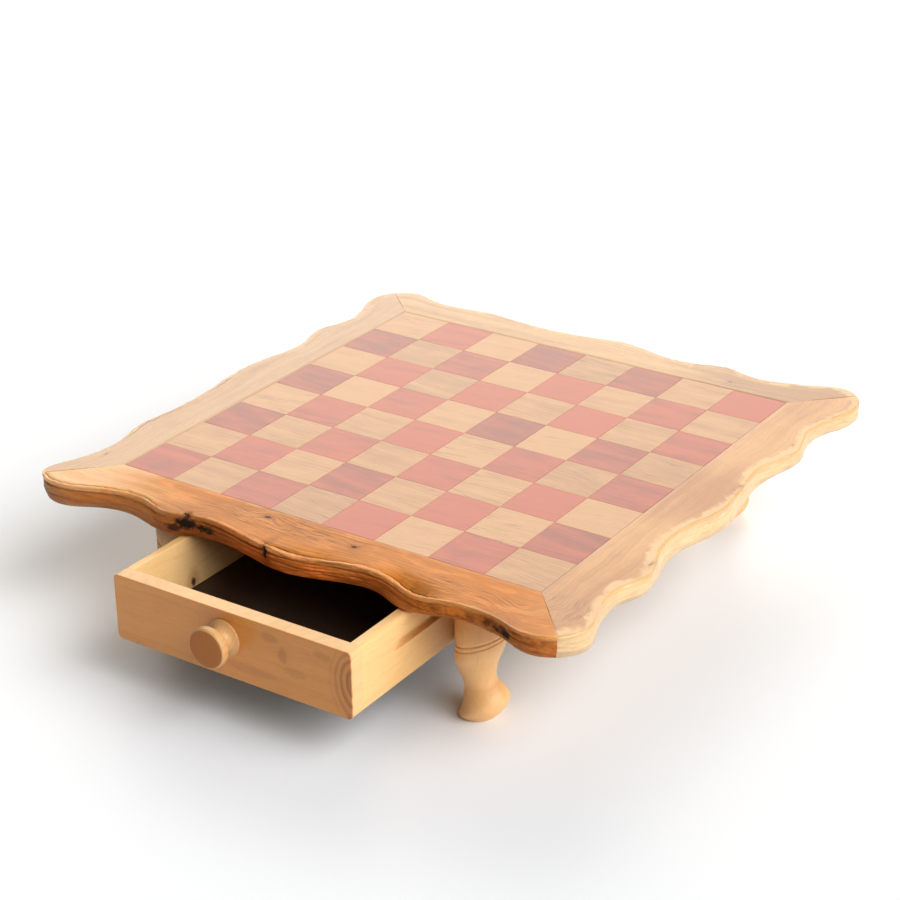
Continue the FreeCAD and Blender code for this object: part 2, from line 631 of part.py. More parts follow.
# The knob's screw is driven from inside the drawer; its pan head bears on the drawer front.
screw = new_body("knob_screw")
shank = new_sketch(screw, "knob_screw_shank", "XZ_Plane")
draw_circle(shank, "Sizes.knob_screw_diameter / 2")
pad(screw, shank, "Sizes.drawer_front_thickness + Sizes.knob_screw_reach")
head = new_sketch(screw, "knob_screw_head", "XZ_Plane")
draw_circle(head, "Sizes.knob_screw_head_radius")
head_pad = pad(screw, head, "Sizes.knob_screw_head_height")
head_pad.Reversed = True
place(screw, KNOB_X, f"{DRAWER_FRONT} + Sizes.drawer_front_thickness", KNOB_Z)

# ------------------------------------------------------------------------------------ legs
# Each leg is carved with a knife from a round blank.  Its sections rise towards the outer side
# of the table, the ankle is thin, and the foot is kicked outwards over a flat sole.
LEG_SECTIONS = [
    # (share of the height, radius, share of the kick, share of the lean)
    (1.000, "Sizes.leg_top_radius", 0.0, 0.0),
    (0.840, "(0.5 * Sizes.leg_top_radius + 0.5 * Sizes.leg_barrel_radius)", 0.0, 0.4),
    (0.680, "Sizes.leg_barrel_radius", 0.0, 0.9),
    (0.540, "Sizes.leg_barrel_radius", -0.2, 1.1),
    (0.410, "(0.35 * Sizes.leg_barrel_radius + 0.65 * Sizes.leg_ankle_radius)", -0.7, 0.95),
    (0.285, "Sizes.leg_ankle_radius", -0.25, 0.85),
    (0.220, "(0.72 * Sizes.leg_ankle_radius + 0.28 * Sizes.leg_foot_radius)", 0.55, 1.1),
    (0.160, "(0.35 * Sizes.leg_ankle_radius + 0.65 * Sizes.leg_foot_radius)", 0.95, 1.35),
    (0.090, "Sizes.leg_foot_radius", 1.0, 1.23),
    (0.045, "(0.66 * Sizes.leg_foot_radius + 0.34 * Sizes.leg_sole_radius)", 0.4, 0.65),
    (0.000, "Sizes.leg_sole_radius", -1.2, 0.0),
]


def carved_leg(label, x, y, outward_turn):
    """A leg whose outer side points along +X before outward_turn, in degrees, about its axis."""
    leg = new_body(label)
    sections = []
    for index, (height_share, radius, kick_share, lean_share) in enumerate(LEG_SECTIONS):
        section = new_sketch(leg, f"{label}_section_{index + 1}", "XY_Plane")
        draw_circle(section, radius)
        section.AttachmentOffset = Placement(Vector(), Rotation(Vector(0, -1, 0), 1))
        bind(
            section,
            AttachmentOffset__Base__x=f"{kick_share} * Sizes.leg_kick",
            AttachmentOffset__Base__z=f"({height_share} - 1) * Sizes.leg_height",
            AttachmentOffset__Rotation__Angle=f"{lean_share} * Sizes.leg_lean",
        )
        section.Visibility = False
        sections.append(section)
    carving = leg.newObject("PartDesign::AdditiveLoft", f"{label}_carving")
    carving.Profile = sections[0]
    carving.Sections = sections[1:]
    carving.Ruled = True
    bore = new_sketch(leg, f"{label}_bore", "XY_Plane")
    draw_circle(bore, f"{LEG_BORE} / 2")
    pocket(leg, bore, "Sizes.leg_bolt_in_leg + Sizes.fastener_gap")
    leg.Placement.Rotation = Rotation(Vector(0, 0, 1), outward_turn)
    place(leg, x, y, UNDERSIDE)


bolts = []
for side_x, side_y, corner in leg_corners:
    x = f"{side_x} * {LEG_X}"
    y = f"{side_y} * {LEG_Y}"
    carved_leg(f"leg_{corner}", x, y, 0 if side_x == 1 else 180)
    bolt = doc.addObject("Part::Cylinder", f"leg_bolt_{corner}")
    bind(
        bolt,
        Radius="Sizes.leg_bolt_diameter / 2",
        Height=f"{BOLT_IN_TOP} + Sizes.leg_bolt_in_leg",
    )
    place(bolt, x, y, f"{UNDERSIDE} - Sizes.leg_bolt_in_leg")
    bolts.append(bolt)
group("leg_bolts", bolts)

# ------------------------------------------------------------------------ checks and export
doc.recompute()
for item in doc.Objects:
    if "Invalid" in item.State or "Error" in item.State:
        raise RuntimeError(f"{item.Label} did not recompute: {item.State}")
for feature in removals:
    before = feature.BaseFeature.Shape.Volume
    if feature.Shape.Volume > before - 1e-3:
        raise RuntimeError(f"{feature.Label} removes nothing")
os.makedirs("parts", exist_ok=True)
for piece in pieces:
    if piece.Shape.isNull() or not piece.Shape.isValid():
        raise RuntimeError(f"{piece.Label} has no valid shape")
    piece.Shape.exportStep(f"parts/{piece.Label}.step")
    box = piece.Shape.BoundBox
    print(
        f"{piece.Label:24s} {len(piece.Shape.Solids)} solid(s), volume {piece.Shape.Volume / 1000:8.2f} cm3,"
        f" x {box.XMin:7.1f} {box.XMax:7.1f}  y {box.YMin:7.1f} {box.YMax:7.1f}"
        f"  z {box.ZMin:6.1f} {box.ZMax:6.1f}"
    )
print(len(pieces), "nodes")
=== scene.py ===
import math

import bmesh
import bpy
from mathutils import Matrix, Vector, noise
from mathutils.bvhtree import BVHTree


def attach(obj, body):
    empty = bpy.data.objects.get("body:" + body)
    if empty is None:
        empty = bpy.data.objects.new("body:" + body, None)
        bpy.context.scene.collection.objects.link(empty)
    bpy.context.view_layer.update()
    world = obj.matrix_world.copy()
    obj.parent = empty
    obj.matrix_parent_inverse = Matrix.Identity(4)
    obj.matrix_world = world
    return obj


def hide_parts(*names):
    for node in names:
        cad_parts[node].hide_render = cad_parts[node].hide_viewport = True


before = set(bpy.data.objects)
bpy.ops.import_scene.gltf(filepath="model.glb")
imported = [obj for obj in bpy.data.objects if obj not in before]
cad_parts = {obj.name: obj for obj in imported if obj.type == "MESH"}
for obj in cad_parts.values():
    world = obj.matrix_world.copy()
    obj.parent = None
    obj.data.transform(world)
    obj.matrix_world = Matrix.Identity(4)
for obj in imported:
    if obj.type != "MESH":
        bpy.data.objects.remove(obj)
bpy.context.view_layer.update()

# ------------------------------------------------------------------ live-edge frame boards
# Four boards sawn from the outside of the tree, mitred at the corners round the field.  The
# outer edge keeps the wandering surface that lay under the bark: it is brushed, rounded over
# at the rim and undercut, with knots and pockets of bark left in it, and varnished.
MM = 0.001
HALF_FIELD = 152 * MM
BOARD_THICK = 16 * MM
RABBET = 9 * MM               # the frame reaches this far over the core board
RABBET_LIP = 6 * MM           # thickness of the frame above the core board
HEART_IN, HEART_DOWN = 74, 26   # mm from the field's edge, and from the top, to the tree's heart
MIDDLE_REACH = 34 * MM        # usual width of a board
FAN_COLUMNS = 24              # sections that fan out into each mitred tip
MITRE_GAP = 0.010             # rad from a mitre to the section beside it
COLUMN_STEP = 1.25 * MM       # from section to section along the straight part
PIT_STEP, PIT_NEAR = 0.55 * MM, 7 * MM   # closer sections, this near a pit
TOP_STEPS, ROUND_STEPS, FACE_STEPS, UNDER_STEPS = 15, 6, 26, 5
ARRIS = 0.22 * MM             # the top's eased arris at the squares and at the mitres
ARRIS_DOWN = 0.16 * MM
LOW_ROUND = 1.1 * MM          # rounding of the lower edge
GROOVE_INSIDE, GROOVE_OUTSIDE = 0.92 * MM, 0.45 * MM   # sides of the groove above the bead
BEAD_DOWN = 0.12 * MM
BEAD_FADES, BEAD_FADING = 85 * MM, 30 * MM   # where the front board's bead begins to fade out
ROLL_WIDTH = 12 * MM          # how far in from the rim a rolled top begins to dip


def fill(made, sockets):
    """Gives a node's inputs, by name or number, each a value or another node's output."""
    for key, value in sockets.items():
        if isinstance(value, bpy.types.NodeSocket):
            made.id_data.links.new(value, made.inputs[key])
        else:
            made.inputs[key].default_value = value


def node(kind, sockets, tree=None, **settings):
    """One shader node, made in the tree that its inputs come from."""
    linked = [value for value in sockets.values() if isinstance(value, bpy.types.NodeSocket)]
    made = (tree or linked[0].id_data).nodes.new(kind)
    for setting, value in settings.items():
        setattr(made, setting, value)
    fill(made, sockets)
    return made


def maths(operation, first, second=0.0, third=0.0):
    sockets = {0: first, 1: second, 2: third}
    return node("ShaderNodeMath", sockets, operation=operation).outputs[0]


def plus(first, second):
    return maths("ADD", first, second)


def less(first, second):
    return maths("SUBTRACT", first, second)


def times(first, second):
    return maths("MULTIPLY", first, second)


def raised(base, value, amount):
    """The base with an amount of the value added."""
    return maths("MULTIPLY_ADD", value, amount, base)


def swayed(base, figure, amount):
    """The base carried up and down by a figure that runs from 0 to 1."""
    return raised(base, less(figure, 0.5), amount)


def between(value, low, high, to_low=0.0, to_high=1.0, smooth=True):
    """The value carried from low..high to to_low..to_high, and held outside them."""
    kind = "SMOOTHSTEP" if smooth else "LINEAR"
    sockets = {0: value, 1: low, 2: high, 3: to_low, 4: to_high}
    return node("ShaderNodeMapRange", sockets, interpolation_type=kind).outputs[0]


def blended(share, under, over, way="MIX"):
    """Two colours mixed; colours are linear red, green, blue."""
    sockets = {0: share}
    for key, colour in ((6, under), (7, over)):
        sockets[key] = (*colour, 1.0) if isinstance(colour, tuple) else colour
    return node("ShaderNodeMix", sockets, data_type="RGBA", blend_type=way).outputs[2]


def point(parts):
    return node("ShaderNodeCombineXYZ", dict(enumerate(parts))).outputs[0]


def length_of(parts):
    sockets = {0: point(parts)}
    return node("ShaderNodeVectorMath", sockets, operation="LENGTH").outputs["Value"]


def cloud(place, sizes, detail=2.0, roughness=0.5, distortion=0.0):
    """Soft noise from 0 to 1; its figure has a size in mm along each part of the place."""
    spot = point([maths("DIVIDE", part, size) for part, size in zip(place, sizes)])
    sockets = {"Vector": spot, "Scale": 1.0, "Detail": detail, "Roughness": roughness,
               "Distortion": distortion}
    return node("ShaderNodeTexNoise", sockets).outputs[0]


def carried(material, name):
    """A number that the mesh carries at each of its corners."""
    tree = material.node_tree
    return node("ShaderNodeAttribute", {}, tree, attribute_name=name).outputs["Fac"]


def shader_of(material):
    return material.node_tree.nodes["Principled BSDF"]


def new_finish(name):
    """An empty finish, and the place on the table as three lengths in mm."""
    material = bpy.data.materials.new(name)
    material.use_nodes = True
    spot = node("ShaderNodeTexCoord", {}, material.node_tree).outputs["Object"]
    parts = node("ShaderNodeSeparateXYZ", {0: spot}).outputs
    return [material] + [times(part, 1000.0) for part in parts]


def grain_figure(along, growth, depth, rings, waver):
    """The figure of sawn wood: its annual rings, bands, streaks and fibres, each from 0 to 1."""
    slow = cloud((along, growth, depth), (75, 16, 40), 2.0)
    quick = cloud((along, growth, depth), (22, 4.5, 12), 3.0)
    shift = swayed(growth, slow, 3.2 * waver)
    shift = swayed(shift, quick, 0.9 * waver)
    year = maths("FRACT", maths("DIVIDE", shift, rings))
    late = between(year, 0.35, 0.88)
    fresh = between(year, 0.90, 1.0)
    ring = times(times(late, late), less(1.0, fresh))
    strong = cloud((along, shift), (110, 1.7 * rings), 1.0)
    ring = times(ring, between(strong, 0.32, 0.66, 0.10, 1.0))
    bands = cloud((along, shift, depth), (130, 9, 30), 2.0)
    fibres = cloud((along, shift, depth), (9, 0.34, 0.5), 3.0, 0.65)
    thin = cloud((along, shift, depth), (20, 0.8, 4), 3.0, 0.6)
    gather = cloud((along, shift, depth), (48, 7, 20), 2.0)
    streaks = times(between(thin, 0.50, 0.63), between(gather, 0.46, 0.60))
    return {"ring": ring, "bands": bands, "fibres": fibres, "streaks": streaks, "shift": shift,
            "slow": slow}


def knot_marks(x, y, z, knots, ragged):
    """How dark each knot makes the wood, and the halo round it, both from 0 to 1."""
    dark, halo = 0.0, 0.0
    for centre, length, width, strength in knots:
        sizes = (length, width, max(width, 4.0))
        off = [maths("DIVIDE", less(part, middle), size)
               for part, middle, size in zip((x, y, z), centre, sizes)]
        away = swayed(length_of(off), ragged, 1.1)
        dark = maths("MAXIMUM", between(away, 0.45, 1.05, strength, 0.0), dark)
        halo = maths("MAXIMUM", between(away, 1.1, 3.2, strength, 0.0), halo)
    return dark, halo


def fibre_shaded(colour, fibres, darkest, lightest):
    """The colour a little darker and lighter from fibre to fibre."""
    shade = between(fibres, 0.3, 0.7, darkest, lightest, smooth=False)
    grey = node("ShaderNodeCombineColor", {0: shade, 1: shade, 2: shade}).outputs[0]
    return blended(1.0, colour, grey, "MULTIPLY")


def varnished(material, colour, height, roughness, coat=0.35, coat_roughness=0.22, lift=0.05,
              gloss=0.5):
    """Ends a wood: colour and fine relief under a satin varnish."""
    bump = node("ShaderNodeBump", {"Height": height, "Strength": 0.55, "Distance": lift * MM})
    fill(shader_of(material), {
        "Base Color": colour, "Roughness": roughness, "Normal": bump.outputs[0], "IOR": 1.48,
        "Coat Weight": coat, "Coat Roughness": coat_roughness, "Specular IOR Level": gloss,
    })
    return material


ROT = (0.022, 0.012, 0.008)           # what is left in a knot or a pocket of bark
WARM_PATCH = (0.84, 0.30, 0.060)
BRIGHT_FACE = (0.98, 0.240, 0.045)    # the front board's edge at its middle
# a painted highlight on the front board's bead
RIM_HIGHLIGHT = (1.0, 0.42, 0.15)
TONE_END = 205                        # mm from a board's middle to the ends of its tone


def live_edge_finish(name, log_shift, pale, middle, deep, streak, sapwood, edge, sapwood_width,
                     knots, tone, figured, coat=0.35, clusters=(), front=False, edge_dark=1.0):
    """Varnished live-edge wood.  tone says how the colour runs from one end to the other."""
    material, x, y, z = new_finish(name)
    along, growth = carried(material, "along"), carried(material, "growth")
    from_bark, under_rim = carried(material, "from_bark"), carried(material, "under_rim")
    log_along = plus(along, log_shift)
    figure = grain_figure(log_along, growth, z, rings=2.7, waver=2.2)
    blotch = cloud((x, y, z), (34, 26, 16), 3.0, 0.55)
    ragged = cloud((x, y, z), (2.6, 1.7, 2.2), 3.0, 0.6)
    # ground colour: from pale to middle along the board, in soft bands
    ends = node("ShaderNodeValToRGB", {0: between(along, -TONE_END, TONE_END, smooth=False)})
    stops = ends.color_ramp.elements
    for stop, (place, share) in ((stops[0], tone[0]), (stops[1], tone[-1])):
        stop.position = place
        stop.color = (share,) * 3 + (1,)
    for place, share in tone[1:-1]:
        stops.new(place).color = (share,) * 3 + (1,)
    warmth = swayed(ends.outputs[0], figure["bands"], 1.5)
    warmth = swayed(warmth, blotch, 0.7)
    colour = blended(between(warmth, 0.0, 1.0), pale, middle)
    # rings and streaks
    calm = 1.0
    if front:
        # towards the ends the board was sawn flat across the rings and shows fewer lines
        calm = times(between(along, -95, -150, 1.0, 0.5), between(along, 75, 120, 1.0, 0.35))
    ringed = times(figure["ring"], 0.80 * figured)
    colour = blended(times(ringed, calm), colour, deep)
    if front:
        patch = cloud((log_along, growth, z), (26, 7, 14), 3.0, 0.5)
        colour = blended(between(patch, 0.50, 0.66, 0.0, 0.55), colour, WARM_PATCH)
    streaked = times(figure["streaks"], between(warmth, 0.1, 0.8, 0.2 * figured, 0.9 * figured))
    streaked = times(streaked, calm)
    if clusters:
        crowd = knot_marks(x, y, z, clusters, ragged)[1]
        fine = cloud((log_along, figure["shift"], z), (15, 0.55, 4), 3.0, 0.6)
        crowd = times(crowd, between(fine, 0.50, 0.60, 0.0, 0.85))
        streaked = maths("MAXIMUM", streaked, crowd)
    colour = blended(streaked, colour, streak)
    # sapwood under the bark, with a ragged border
    chipped = cloud((x, y, z), (13, 13, 9), 4.0, 0.62, 0.5)
    wander = swayed(from_bark, figure["slow"], 9.0)
    wander = swayed(wander, chipped, 16.0)
    sap = between(wander, sapwood_width - 2.5, sapwood_width + 2.5, 1.0, 0.0)
    colour = blended(times(sap, 0.75), colour, sapwood)
    # the brushed face under the rim: darker lines, a darker foot and a darker left end
    face = between(under_rim, -1.2, -3.4)
    lines = cloud((along, z, growth), (26, 1.7, 6), 4.0, 0.62)
    brushed = blended(between(lines, 0.36, 0.62, 0.0, 0.1 + 0.9 * edge_dark), edge, middle)
    for share in (between(lines, 0.32, 0.46, 0.80 * edge_dark, 0.0),
                  between(z, -7.0, -15.5, 0.0, 0.55 * edge_dark),
                  between(along, -90, -150, 0.0, 0.55 * edge_dark)):
        brushed = blended(share, brushed, deep)
    if front:
        bright = times(between(along, -85, -25, 0.0, 0.75), between(along, 55, 105, 1.0, 0.15))
        brushed = blended(bright, brushed, BRIGHT_FACE)
    mottle = cloud((x, y, z), (8, 8, 5), 3.0, 0.6, 0.6)
    mottle = times(between(mottle, 0.42, 0.66), between(along, 70, 110, 0.15, 0.80 * edge_dark))
    brushed = blended(mottle, brushed, deep)
    covered = times(face, between(blotch, 0.3, 0.7, 0.97 - 0.42 * edge_dark, 0.97))
    colour = blended(covered, colour, brushed)
    if front:
        # painted highlight: the bead along the rim is painted pale, most of all over the drawer
        rim_highlight = times(between(from_bark, 1.8, 3.8, 1.0, 0.0), between(under_rim, -3.9, -2.1))
        for share in (between(chipped, 0.36, 0.56, 0.15, 0.80),
                      between(ragged, 0.34, 0.58, 0.45, 1.0),
                      between(along, 92, 118, 1.0, 0.10),
                      between(along, -60, -5, 0.35, 1.0)):
            rim_highlight = times(rim_highlight, share)
        colour = blended(rim_highlight, colour, RIM_HIGHLIGHT)
    # painted shade in the grooves along the rim
    colour = blended(times(carried(material, "groove"), 0.75), colour, deep)
    dark, halo = knot_marks(x, y, z, knots, ragged)
    colour = blended(times(halo, 0.42), colour, deep)
    colour = blended(dark, colour, ROT)
    colour = fibre_shaded(colour, figure["fibres"], 0.84, 1.12)
    # relief, and how the varnish shines
    height = raised(figure["fibres"], figure["ring"], -0.5)
    height = raised(height, dark, -2.0)
    height = raised(height, times(face, lines), 0.5 + 2.5 * edge_dark)
    roughness = raised(0.30, figure["fibres"], 0.10)
    roughness = raised(roughness, face, 0.10)
    roughness = raised(roughness, dark, 0.25)
    gloss = 0.5
    if front:
        # the varnish has sunk into the middle of the board, and shines at its ends
        gloss = plus(between(along, -160, -95, 0.55, 0.0), between(along, 95, 165, 0.0, 0.24))
        gloss = times(maths("MAXIMUM", gloss, 0.16), between(face, 0.0, 1.0, 1.0, 0.35))
    return varnished(material, colour, height, roughness, coat=coat, gloss=gloss)


def smoothed(values, reach):
    """Each value averaged with its neighbours, the ends kept."""
    result = []
    for index in range(len(values)):
        span = min(reach, index, len(values) - 1 - index)
        window = values[index - span:index + span + 1]
        result.append(sum(window) / len(window))
    return result


def hump(distance, width):
    """A smooth hump of height 1."""
    return math.exp(-(distance / width) ** 2)


def drift(spot, pitch, layer):
    """Noise from -1 to 1 that wanders along the rim; the pitch is in waves to the metre."""
    return noise.noise(Vector((spot.x * pitch, spot.y * pitch, layer)))


def made_piece(name, mesh, crease=None):
    """The mesh as an object; given a crease in degrees, it is smooth but for sharper edges."""
    if crease:
        bmesh.ops.recalc_face_normals(mesh, faces=mesh.faces)
    shape = bpy.data.meshes.new(name)
    mesh.to_mesh(shape)
    mesh.free()
    if crease:
        shape.shade_smooth()
        shape.set_sharp_from_angle(angle=math.radians(crease))
    piece = bpy.data.objects.new(name, shape)
    bpy.context.scene.collection.objects.link(piece)
    return piece


# where the rings bend round a knot: x, y, how far they are pushed, and over what size, in mm
GROWTH_KNOTS = [
    (-32, -161, 4.5, 9), (33, -165, -4, 9), (120, -166, 2.2, 18), (-75, -183, -5, 10),
    (150, -176, -4, 14), (168, -168, 4, 10), (138, 102, 4, 10), (183, 18, 4, 12),
    (105, 163, 4, 10), (-173, -147, 4, 9),
]


def live_edge_board(side, quarter_turns, first_tip, second_tip, ruggedness, ridged, bead, bevel,
                    pits, rolls):
    """The board that stands for the plain board of that side, with its brushed live edge."""
    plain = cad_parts[f"live_edge_{side}"]
    skin = BVHTree.FromPolygons(
        [corner.co.copy() for corner in plain.data.vertices],
        [tuple(face.vertices) for face in plain.data.polygons],
    )
    turn = Matrix.Rotation(math.radians(90 * quarter_turns), 3, "Z")
    pits = [[value * MM for value in pit] for pit in pits]

    def on_table(along, outward, height):
        return turn @ Vector((along, -(HALF_FIELD + outward), height))

    # columns: where each section starts along the field and which way it points
    first_fan = math.atan2(first_tip[0], first_tip[1])
    second_fan = math.atan2(second_tip[0], second_tip[1])
    columns = []
    for index in range(FAN_COLUMNS):
        columns.append((-HALF_FIELD, -first_fan * (1 - index / FAN_COLUMNS)))
    columns.insert(1, (-HALF_FIELD, -first_fan + MITRE_GAP))
    straight = -HALF_FIELD
    while straight < HALF_FIELD - 0.4 * MM:
        columns.append((straight, 0.0))
        near = [abs(straight - pit[0]) for pit in pits]
        straight += PIT_STEP if near and min(near) < PIT_NEAR else COLUMN_STEP
    for index in range(FAN_COLUMNS + 1):
        columns.append((HALF_FIELD, second_fan * index / FAN_COLUMNS))
    columns.insert(len(columns) - 1, (HALF_FIELD, second_fan - MITRE_GAP))

    def reach_at(depth_share):
        """How far the plain board reaches out at each column, at a share of its thickness."""
        far, margin = 90 * MM, 0.002
        found = []
        for start, fan in columns:
            inside = max(-first_fan + margin, min(second_fan - margin, fan))
            way = turn @ Vector((math.sin(inside), -math.cos(inside), 0))
            outside = on_table(start, 0, -depth_share * BOARD_THICK) + way * far
            hit = skin.ray_cast(outside, -way, far)[0]
            found.append(far - (outside - hit).length)
        return smoothed(found, 2)

    reach, middle_out, low_out = reach_at(0.2), reach_at(0.6), reach_at(0.99)
    # where the top rolls over the rim it dips, and reaches further out if there is room
    roll_down = []
    for index, (start, fan) in enumerate(columns):
        further, dip = 0.0, 0.0
        for place, width, out, down in rolls:
            share = hump(start / MM - place, width)
            further += share * out
            dip += share * down
        reach[index] += max(0.0, min(further * MM, middle_out[index] - reach[index] - 0.8 * MM))
        roll_down.append(dip * MM)
    slow_reach = smoothed([out * math.cos(fan) for out, (start, fan) in zip(reach, columns)], 6)

    mesh = bmesh.new()
    layers = [mesh.verts.layers.float.new(name)
              for name in ("along", "growth", "from_bark", "groove", "under_rim")]
    rows = []
    outlines = zip(columns, reach, middle_out, low_out, roll_down)
    for index, ((start, fan), far, middle, low, dip) in enumerate(outlines):
        at_joint = index in (0, len(columns) - 1)
        way_along, way_out = math.sin(fan), math.cos(fan)
        rim = on_table(start + far * way_along, far * way_out, 0)
        crisp = 1.0
        if side == "front":
            crisp = 1.0 - 0.75 * min(1.0, max(0.0, (start - BEAD_FADES) / BEAD_FADING))
        jagged = noise.fractal(Vector((rim.x * 160, rim.y * 160, 5.5)), 0.8, 2.0, 3)
        jagged += 0.9 * drift(rim, 290, 1.9)
        round_in = crisp * bevel * (1.0 + 0.9 * drift(rim, 21, 3.1))
        round_in = max(0.5, round_in + 0.8 * jagged) * MM
        round_down = crisp * bevel * (0.9 + 0.7 * drift(rim, 33, 8.4))
        round_down = max(0.6, round_down - 0.5 * jagged) * MM
        # a rounded bead runs along the rim between two grooves that the brush has worn, with
        # a third groove lower on the face
        upper_groove = round_in + (0.9 + bead + 0.7 * drift(rim, 45, 1.2)) * MM
        upper_deep = crisp * bead * max(0.0, 0.30 + 0.6 * drift(rim, 26, 6.6)) * MM
        lower_groove = (3.9 + 1.5 * drift(rim, 24, 2.7)) * MM + dip
        lower_deep = crisp * bead * max(0.1, 0.55 + 0.7 * drift(rim, 30, 4.9)) * MM
        third_groove = (8.6 + 3.4 * drift(rim, 15, 9.3)) * MM + 0.5 * dip
        third_deep = bead * max(0.0, 0.15 + 1.2 * drift(rim, 22, 7.1)) * MM
        bead_down = BEAD_DOWN * crisp * bead
        # the section's outline: how far out, how high, and how rugged
        groove_out = far - upper_groove
        profile = [(0.0, -ARRIS_DOWN, 0.0), (ARRIS, 0.0, 0.0)]
        for step in range(1, TOP_STEPS + 1):
            out = ARRIS + (groove_out - GROOVE_INSIDE) * (step / TOP_STEPS) ** 0.9
            rolled = max(0.0, 1.0 - (groove_out - out) / ROLL_WIDTH) ** 2
            profile.append((out, -dip * rolled, 0.0))
        profile.append((groove_out, -upper_deep - dip, 0.0))
        profile.append((groove_out + GROOVE_OUTSIDE, -0.15 * upper_deep - dip, 0.0))
        profile.append((far - round_in, -bead_down - dip, 0.1))
        for step in range(1, ROUND_STEPS + 1):
            share = step / ROUND_STEPS
            angle = math.radians(90 * share)
            sink = -bead_down - (round_down - bead_down) * (1 - math.cos(angle))
            out = far - round_in * (1 - math.sin(angle))
            profile.append((out, sink - dip, 0.35 + 0.65 * share))
        face_high, face_low = -round_down - dip, -(BOARD_THICK - LOW_ROUND)
        for step in range(1, FACE_STEPS + 1):
            share = step / FACE_STEPS
            height = face_high + (face_low - face_high) * share
            depth = -height / BOARD_THICK
            if depth < 0.6:
                bulge = far + (middle - far) * (depth / 0.6) ** 2
            else:
                bulge = middle + (low - middle) * ((depth - 0.6) / 0.4) ** 1.2
            bulge -= lower_deep * hump(height + lower_groove, 0.6 * MM)
            bulge -= third_deep * hump(height + third_groove, 0.7 * MM)
            profile.append((bulge, height, 1.0 if share < 0.8 else 1.0 - 2.0 * (share - 0.8)))
        under_out = low - LOW_ROUND
        profile.append((low - 0.3 * LOW_ROUND, -(BOARD_THICK - 0.3 * LOW_ROUND), 0.3))
        profile.append((under_out, -BOARD_THICK, 0.0))
        lip = RABBET / max(abs(way_out), abs(way_along))
        for step in range(1, UNDER_STEPS + 1):
            profile.append((under_out + (lip - under_out) * step / UNDER_STEPS, -BOARD_THICK, 0.0))
        profile.append((lip, -RABBET_LIP, 0.0))
        profile.append((0.0, -RABBET_LIP, 0.0))
        # its corners: the rugged part carved, the pits sunk, the arris at a mitre eased
        row = []
        for out, height, rugged in profile:
            spot = on_table(start + out * way_along, out * way_out, height)
            if rugged:
                broad = Vector((spot.x * 34, spot.y * 34, spot.z * 110))
                broad = noise.fractal(broad, 0.9, 2.1, 4)
                ridges = Vector((spot.x * 48, spot.y * 48, spot.z * 330))
                ridges = abs(noise.fractal(ridges, 0.7, 2.2, 4))
                carve = (0.50 + 1.0 * broad + ridged * ridges) * MM * ruggedness
                out -= max(0.0, carve) * rugged
            for pit_along, pit_out, pit_height, pit_size, pit_deep in pits:
                away = Vector((start + out * way_along - pit_along, out * way_out - pit_out,
                               height - pit_height)).length
                if rugged >= 0.99:
                    out -= pit_deep * hump(away, pit_size)
                elif out > 4 * MM and height > -8 * MM:
                    height -= pit_deep * hump(away, pit_size)
            if at_joint:
                height = min(height, -ARRIS) if height > -RABBET_LIP else height
                out = min(out, far - 0.25 * MM)
            local_along, local_out = start + out * way_along, out * way_out
            spot = on_table(local_along, local_out, height)
            # the rings follow the bark: far from the heart at the rim, near it at the field
            share_out = max(0.0, min(1.0, local_out / max(slow_reach[index], 1 * MM)))
            bent = local_out - (slow_reach[index] - MIDDLE_REACH) * share_out ** 1.6
            growth = math.hypot(bent / MM + HEART_IN, height / MM + HEART_DOWN)
            for knot_x, knot_y, lift, size in GROWTH_KNOTS:
                away = math.hypot(spot.x / MM - knot_x, 1.7 * (spot.y / MM - knot_y))
                growth += lift * hump(away, size)
            # how deep a groove lies here, for the painted shade in it
            groove_shade = 0.0
            if rugged > 0.5:
                groove_shade = lower_deep * hump(height + lower_groove, 0.55 * MM)
                groove_shade = max(groove_shade, third_deep * hump(height + third_groove, 0.6 * MM))
            elif height > -RABBET_LIP:
                groove_shade = 2.0 * upper_deep * hump(out - groove_out, 0.3 * MM)
            corner = mesh.verts.new(spot)
            marks = (local_along / MM, growth, max(0.0, far - out) / MM * way_out,
                     min(1.0, groove_shade / (0.6 * MM)), (height + dip) / MM)
            for layer, mark in zip(layers, marks):
                corner[layer] = mark
            row.append(corner)
        rows.append(row)
    for left, right in zip(rows, rows[1:]):
        for step in range(len(left)):
            after = (step + 1) % len(left)
            mesh.faces.new((left[step], left[after], right[after], right[step]))
    mesh.faces.new(rows[0][::-1])
    mesh.faces.new(rows[-1])
    bmesh.ops.remove_doubles(mesh, verts=mesh.verts, dist=0.004 * MM)
    piece = made_piece(f"{side}_live_edge_board", mesh, 50)
    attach(piece, "table")
    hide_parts(f"live_edge_{side}")
    return piece


# the front board's pits: along the board, out from the field, height, size and depth, in mm
FRONT_PITS = [
    (-74.9, 31.4, -1.0, 1.7, 2.6), (-79.0, 33.5, -8.0, 4.2, 1.6), (-64.5, 31.0, -8.4, 3.0, 1.1),
    (-12.5, 38.5, -4.5, 2.2, 1.4), (149.0, 38.6, -7.8, 3.4, 2.4),
]
# where its top rolls over the rim: along the board, half width, out and down, in mm
FRONT_ROLLS = [(86.0, 18.0, 5.3, 4.6), (20.0, 24.0, 2.0, 1.8)]
